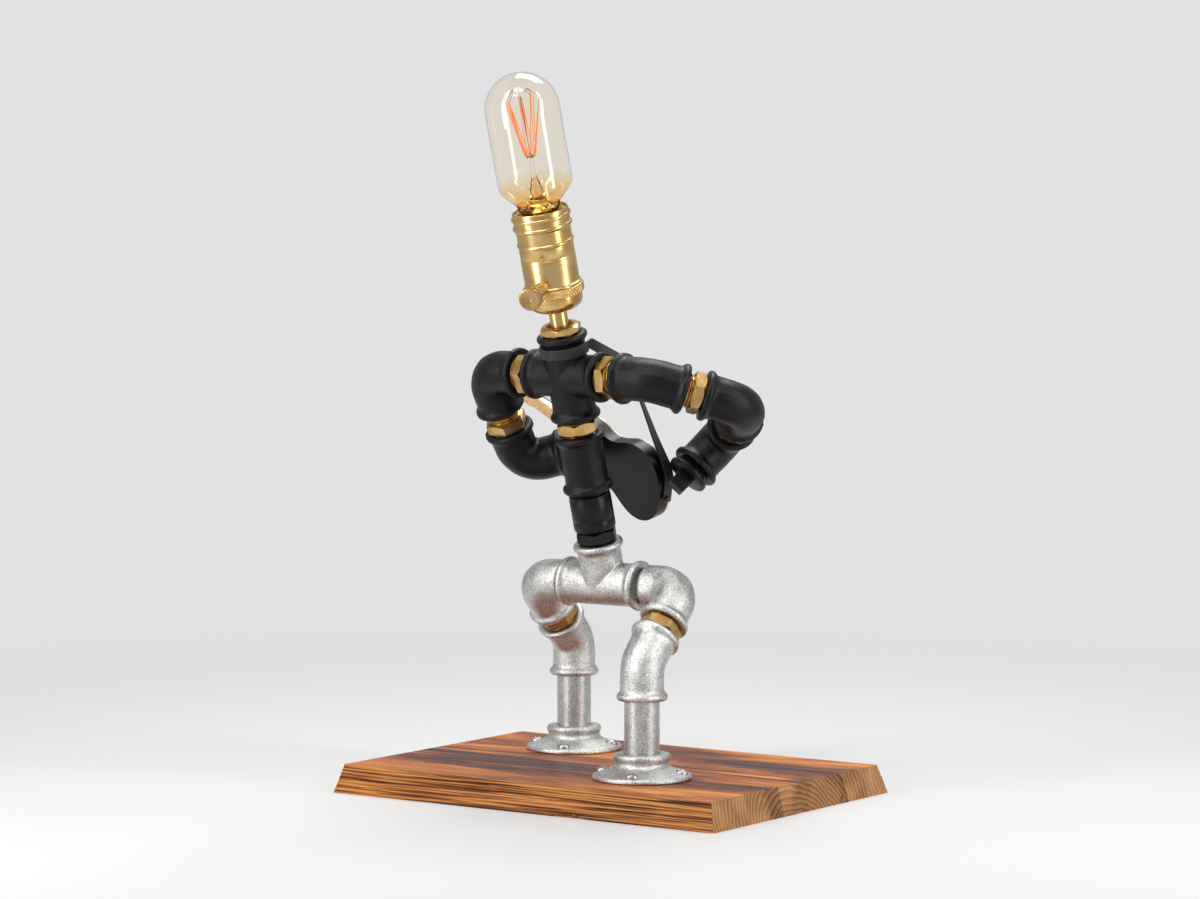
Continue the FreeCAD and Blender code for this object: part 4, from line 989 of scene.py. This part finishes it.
def knobShape():
    size = headSizes
    radius, high = size["knobRadius"], size["reach"]
    low = high - size["knobWidth"]
    face = [(radius - 0.95 - 0.45 * i, high + (0.07 if i % 2 else 0.0) - 0.02 * i) for i in range(12)]
    bm = turnedPiece([(0, low), (radius - 0.7, low), (radius - 0.2, low + 0.25), (radius, low + 0.7),
                      (radius, high - 0.7), (radius - 0.2, high - 0.2), (radius - 0.6, high)] + face +
                     [(0.4, high - 0.5), (0, high - 0.5)], 96)
    return bm


addPiece("switch_shaft_brass", shaftShape(), knobPlace, lampBrass, "switch_shaft", brassSlot, sharpAngle=60)
addPiece("switch_knob_brass", knobShape(), knobPlace, knobBrass, "switch_knob", brassSlot)
print("lampholder made")


# Bulb

bulbSizes = {"radius": 22.5, "top": 161.9, "shoulder": 94.0, "neck": 12.6, "neckHeight": 77.6, "wall": 0.8,
             "ringHeight": 147.0, "ringRadius": 10.5, "footHeight": 110.5, "footRadius": 3.2, "strands": 16,
             "wire": 0.26, "supportWire": 0.16}


def bulbShape():
    size = bulbSizes
    bm = bmesh.new()
    outside, inside = [], []
    for wall, edge in ((0.0, outside), (size["wall"], inside)):
        radius, neckRadius = size["radius"] - wall, size["neck"] - wall
        low, shoulder, centre = size["neckHeight"], size["shoulder"], size["top"] - size["radius"]
        for i in range(25):
            share = i / 24
            ease = share * share * (3 - 2 * share)
            height = low + 1.5 + (shoulder - low - 1.5) * share
            edge.append((neckRadius + (radius - neckRadius) * ease, height))
        edge.append((radius, (shoulder + centre) / 2))
        for i in range(25):
            angle = math.radians(90 * i / 24)
            edge.append((radius * math.cos(angle) if i < 24 else 0.0, centre + radius * math.sin(angle)))
        edge.insert(0, (neckRadius, low))
    turn(bm, outside + inside[::-1], 96)
    closeUp(bm)
    return bm


def wire(bm, points, radius, segments=7):
    # a round wire from point to point, each run a short rod
    for start, end in zip(points[:-1], points[1:]):
        run = end - start
        made = bmesh.ops.create_cone(bm, cap_ends=True, segments=segments, radius1=radius, radius2=radius,
                                     depth=run.length)["verts"]
        place = run.to_track_quat("Z", "Y").to_matrix().to_4x4()
        place.translation = (start + end) / 2
        bmesh.ops.transform(bm, matrix=place, verts=made)


def onRing(radius, height, share):
    angle = math.tau * share
    return Vector((radius * math.cos(angle), radius * math.sin(angle), height))


def filamentShape():
    size = bulbSizes
    bm = bmesh.new()
    count = size["strands"]
    points = []
    for i in range(count):
        top = i % 2 == 0
        height = size["ringHeight"] + 1.6 * math.sin(i * 2.1) if top else size["footHeight"] + 0.4
        radius = size["ringRadius"] - (0.6 * math.cos(i * 1.3) if top else 0)
        points.append(onRing(radius if top else size["footRadius"], height, (i + 0.5 * (i % 2)) / count))
    wire(bm, points, size["wire"])
    return bm


def filamentSupportShape():
    # glass rod's hub, hooks for the lower bends, and a mast whose arms carry the upper bends
    size = bulbSizes
    bm = bmesh.new()
    turn(bm, [(0, size["footHeight"] - 0.4), (2.2, size["footHeight"] - 0.4),
              (2.2, size["footHeight"] + 1.0), (0, size["footHeight"] + 1.0)], 24)
    closeUp(bm)
    mast = Vector((0, 0, size["ringHeight"] + 1.0))
    wire(bm, [Vector((0, 0, size["footHeight"])), mast], 0.35)
    for i in range(0, size["strands"], 2):
        height = size["ringHeight"] + 1.6 * math.sin(i * 2.1)
        tip = onRing(size["ringRadius"] - 0.6 * math.cos(i * 1.3), height, i / size["strands"])
        crook = Vector((tip.x * 0.45, tip.y * 0.45, size["ringHeight"] + 4.5))
        wire(bm, [mast, crook, tip], size["supportWire"])
        foot = onRing(size["footRadius"], size["footHeight"] + 0.4, (i + 1.5) / size["strands"])
        wire(bm, [Vector((foot.x * 0.4, foot.y * 0.4, foot.z)), foot], size["supportWire"])
    return bm


def stemShape():
    # flared mount, pinched press and rod
    size = bulbSizes
    top = size["footHeight"] - 0.6
    return turnedPiece([
        (0, 80.6), (5.0, 80.2), (9.6, 78.7), (11.5, 78.6), (11.5, 79.5), (8.2, 80.8), (6.0, 82.4),
        (4.7, 85.0), (4.1, 88.0), (3.8, 91.5), (3.2, 92.4), (3.0, 94.8), (2.2, 96.2), (1.7, 97.4),
        (1.6, 100), (1.6, top - 1.6), (2.2, top - 0.8), (2.3, top - 0.3), (1.9, top), (0, top)], 48)


addPiece("bulb_glass_blown", bulbShape(), neck, bulbGlass, "bulb_glass", "bulb_glass")
addPiece("filament_glowing", filamentShape(), neck, glowingCarbon, "filament", "filament_wire")
addPiece("filament_support_wires", filamentSupportShape(), neck, supportWire, "filament_supports",
         "filament_wire")
addPiece("bulb_stem_glass", stemShape(), neck, bulbGlass, "bulb_stem", "bulb_glass")
print("bulb made")


# Guitar strap: a flat band on the CAD band's own route

strapSizes = {"width": 6.4, "thickness": 1.2, "ring": 13.65, "ringHeight": -9.9, "ringStart": 48.0,
              "ringWrap": 276.0, "ringSteps": 12, "lead": 1.8}
guitarThrough = Vector((0.2955, 0.9095, 0.2924))


def strapShape():
    size = strapSizes
    halfStep = math.radians(size["ringWrap"] / size["ringSteps"] / 2)
    reach = size["ring"] / math.cos(halfStep) + size["thickness"] / 2
    toNeck = neck.copy()
    toNeck.translation = neckPoint / mm
    route = [(Vector((19.84, 31.51, 177.83)), guitarThrough), (Vector((24.1, 28.3, 193.6)), guitarThrough),
             (Vector((23.5, 27.7, 198.8)), guitarThrough),
             (Vector((16.3, 24.0, 218.3)), guitarThrough * 0.8 + Vector((-0.4, 0.1, 0.2))),
             (Vector((14.3, 14.0, 238.3)), guitarThrough * 0.6 + Vector((-0.6, 0.3, 0.3))),
             (Vector((16.8, 0.0, 256.0)), guitarThrough * 0.4 + Vector((-0.5, 0.6, 0.6))),
             (Vector((13.8, -14.0, 268.6)), torsoUp)]
    for i in range(size["ringSteps"] + 1):
        angle = math.radians(size["ringStart"] - size["ringWrap"] * i / size["ringSteps"])
        out = reach + (size["lead"] if i in (0, size["ringSteps"]) else 0.0)
        spot = Vector((out * math.cos(angle), out * math.sin(angle), size["ringHeight"]))
        route.append((toNeck @ spot, torsoUp))
    route += [(Vector((-26.0, -14.0, 262.0)), torsoUp + Vector((0, 0.3, 0))),
              (Vector((-36.0, 8.0, 243.0)), torsoUp + Vector((0, 0.8, 0))),
              (Vector((-48.2, 37.9, 233.9)), guitarThrough), (Vector((-53.2, 41.9, 220.9)), guitarThrough)]
    bm = bmesh.new()
    ring = None
    for i, (spot, across) in enumerate(route):
        before, after = route[max(i - 1, 0)][0], route[min(i + 1, len(route) - 1)][0]
        run = (after - before).normalized()
        wide = (across - run * across.dot(run)).normalized()
        thick = run.cross(wide)
        corners = [spot + wide * size["width"] / 2 * a + thick * size["thickness"] / 2 * b
                   for a, b in ((1, 1), (-1, 1), (-1, -1), (1, -1))]
        verts = [bm.verts.new(corner) for corner in corners]
        edges = [bm.edges.new((verts[k], verts[(k + 1) % 4])) for k in range(4)]
        if ring is not None:
            bmesh.ops.bridge_loops(bm, edges=ring + edges)
        ring = edges
    bmesh.ops.holes_fill(bm, edges=[e for e in bm.edges if e.is_boundary], sides=0)
    bmesh.ops.recalc_face_normals(bm, faces=bm.faces)
    return bm


strapPiece = addPiece("guitar_strap_leather", strapShape(), Matrix.Identity(4), strapLeather,
                      "guitar_strap", "strap_leather", sharpAngle=50)
strapEdges = strapPiece.modifiers.new("roundedEdges", "BEVEL")
strapEdges.width, strapEdges.segments, strapEdges.limit_method = 0.35 * mm, 2, "ANGLE"
strapEdges.angle_limit = math.radians(60)
print("strap made")


# CAD nodes that stay, with their finishes

keptFinishes = {
    "belly_nipple": blackSocketPaint, "porcelain_insert": porcelain, "screw_shell": capNickel,
    "centre_contact": lampBrass, "bulb_cap": capNickel, "bulb_insulator": vitrite,
    "bulb_contact": capNickel, "guitar_body": guitarLacquer, "guitar_top": topSpruce,
    "guitar_neck": neckMaple, "fretboard": rosewood, "guitar_bridge": rosewood, "guitar_nut": polishedBone,
    "guitar_strings": stringWire, "tuning_pegs": stringWire, "end_pin": rosewood,
    "shin_pipe_right": galvanizedPipe, "shin_pipe_left": galvanizedPipe}
for node, finish in keptFinishes.items():
    frame["nodes"][node].data.materials.clear()
    frame["nodes"][node].data.materials.append(finish)
for node in ("guitar_body", "guitar_neck"):
    eased = frame["nodes"][node].modifiers.new("easedEdges", "BEVEL")
    eased.width, eased.segments, eased.limit_method = 0.6 * mm, 2, "ANGLE"
    eased.angle_limit = math.radians(45)
print("finishes set")


# Floor, light and camera

stageSizes = {"floorRadius": 3.2, "fadeFrom": 0.3, "fadeTo": 1.1}
floorBm = bmesh.new()
bmesh.ops.create_circle(floorBm, cap_ends=True, radius=stageSizes["floorRadius"], segments=96)
floorMesh = bpy.data.meshes.new("floor")
floorBm.to_mesh(floorMesh)
floorBm.free()
floor = bpy.data.objects.new("floor", floorMesh)
scene.collection.objects.link(floor)
floorPaper, floorShader = newMaterial("palePaperSweep", Roughness=0.75)
floorShader.inputs["Base Color"].default_value = hexColour("#d6d6d5")
where = addNode(floorPaper, "TexCoord")
away = addNode(floorPaper, "VectorMath", {}, {0: where.outputs["Object"]}, operation="LENGTH")
fade = addNode(floorPaper, "MapRange", {"From Min": stageSizes["fadeFrom"],
                                        "From Max": stageSizes["fadeTo"]},
               {"Value": away.outputs["Value"]}, interpolation_type="SMOOTHSTEP")
clear = addNode(floorPaper, "BsdfTransparent")
blendOut = addNode(floorPaper, "MixShader", {}, {"Fac": fade.outputs["Result"], 1: floorShader.outputs[0],
                                                 2: clear.outputs[0]})
join(floorPaper, blendOut.outputs[0], floorPaper.node_tree.nodes["Material Output"].inputs["Surface"])
floorMesh.materials.append(floorPaper)

# the backdrop is pale to the eye and in reflections, and lights the lamp less than it shows
studioSizes = {"backdrop": 0.84, "fill": 0.36, "mirrored": 0.35}
world = bpy.data.worlds.new("studio")
scene.world = world
world.use_nodes = True
rays = addNode(world, "LightPath")
seen = addNode(world, "Math", {}, {0: rays.outputs["Is Camera Ray"],
                                   1: rays.outputs["Is Transmission Ray"]},
               operation="MAXIMUM")
mirrored = addNode(world, "Math", {1: studioSizes["mirrored"]}, {0: rays.outputs["Is Glossy Ray"]},
                   operation="MULTIPLY")
shown = addNode(world, "Math", {}, {0: seen.outputs[0], 1: mirrored.outputs[0]}, operation="MAXIMUM")
strength = addNode(world, "MapRange", {"To Min": studioSizes["fill"], "To Max": studioSizes["backdrop"]},
                   {"Value": shown.outputs[0]})
worldShader = world.node_tree.nodes["Background"]
worldShader.inputs["Color"].default_value = hexColour("#f4f4f5")
join(world, strength.outputs["Result"], worldShader.inputs["Strength"])

cameraSizes = {"focal": 122.64, "sensor": 36.0, "azimuth": 34.97, "elevation": 3.724,
               "place": (1.42426, -2.04777, 0.37363)}
lens = bpy.data.cameras.new("camera")
lens.lens, lens.sensor_width = cameraSizes["focal"], cameraSizes["sensor"]
lens.clip_start, lens.clip_end = 0.05, 60
camera = bpy.data.objects.new("camera", lens)
scene.collection.objects.link(camera)
camera.location = cameraSizes["place"]
camera.rotation_euler = (math.radians(90 - cameraSizes["elevation"]), 0,
                         math.radians(cameraSizes["azimuth"]))
scene.camera = camera


def softbox(name, azimuth, elevation, distance, width, height, watts, aim=(0, 0, 0.25)):
    # azimuth is counted round from the camera's side, in degrees
    turned = math.radians(cameraSizes["azimuth"] + azimuth)
    rise = math.radians(elevation)
    back = Vector((math.sin(turned) * math.cos(rise), -math.cos(turned) * math.cos(rise), math.sin(rise)))
    light = bpy.data.lights.new(name, "AREA")
    light.shape, light.size, light.size_y, light.energy = "RECTANGLE", width, height, watts
    lamp = bpy.data.objects.new(name, light)
    scene.collection.objects.link(lamp)
    lamp.location = Vector(aim) + back * distance
    lamp.rotation_euler = back.to_track_quat("Z", "Y").to_euler()
    return lamp


# two upright strips that reach down to the floor give the round fittings their long highlights
softbox("stripLeft", -58, 0, 0.85, 0.16, 1.34, 6.5, (0, 0, 0.71))
softbox("stripRight", 58, 0, 0.85, 0.14, 1.34, 5.5, (0, 0, 0.71))
softbox("topBack", 165, 62, 1.4, 0.9, 0.6, 14)
softbox("topFront", -20, 55, 1.8, 0.8, 0.8, 10)

scene.view_settings.view_transform = "Standard"
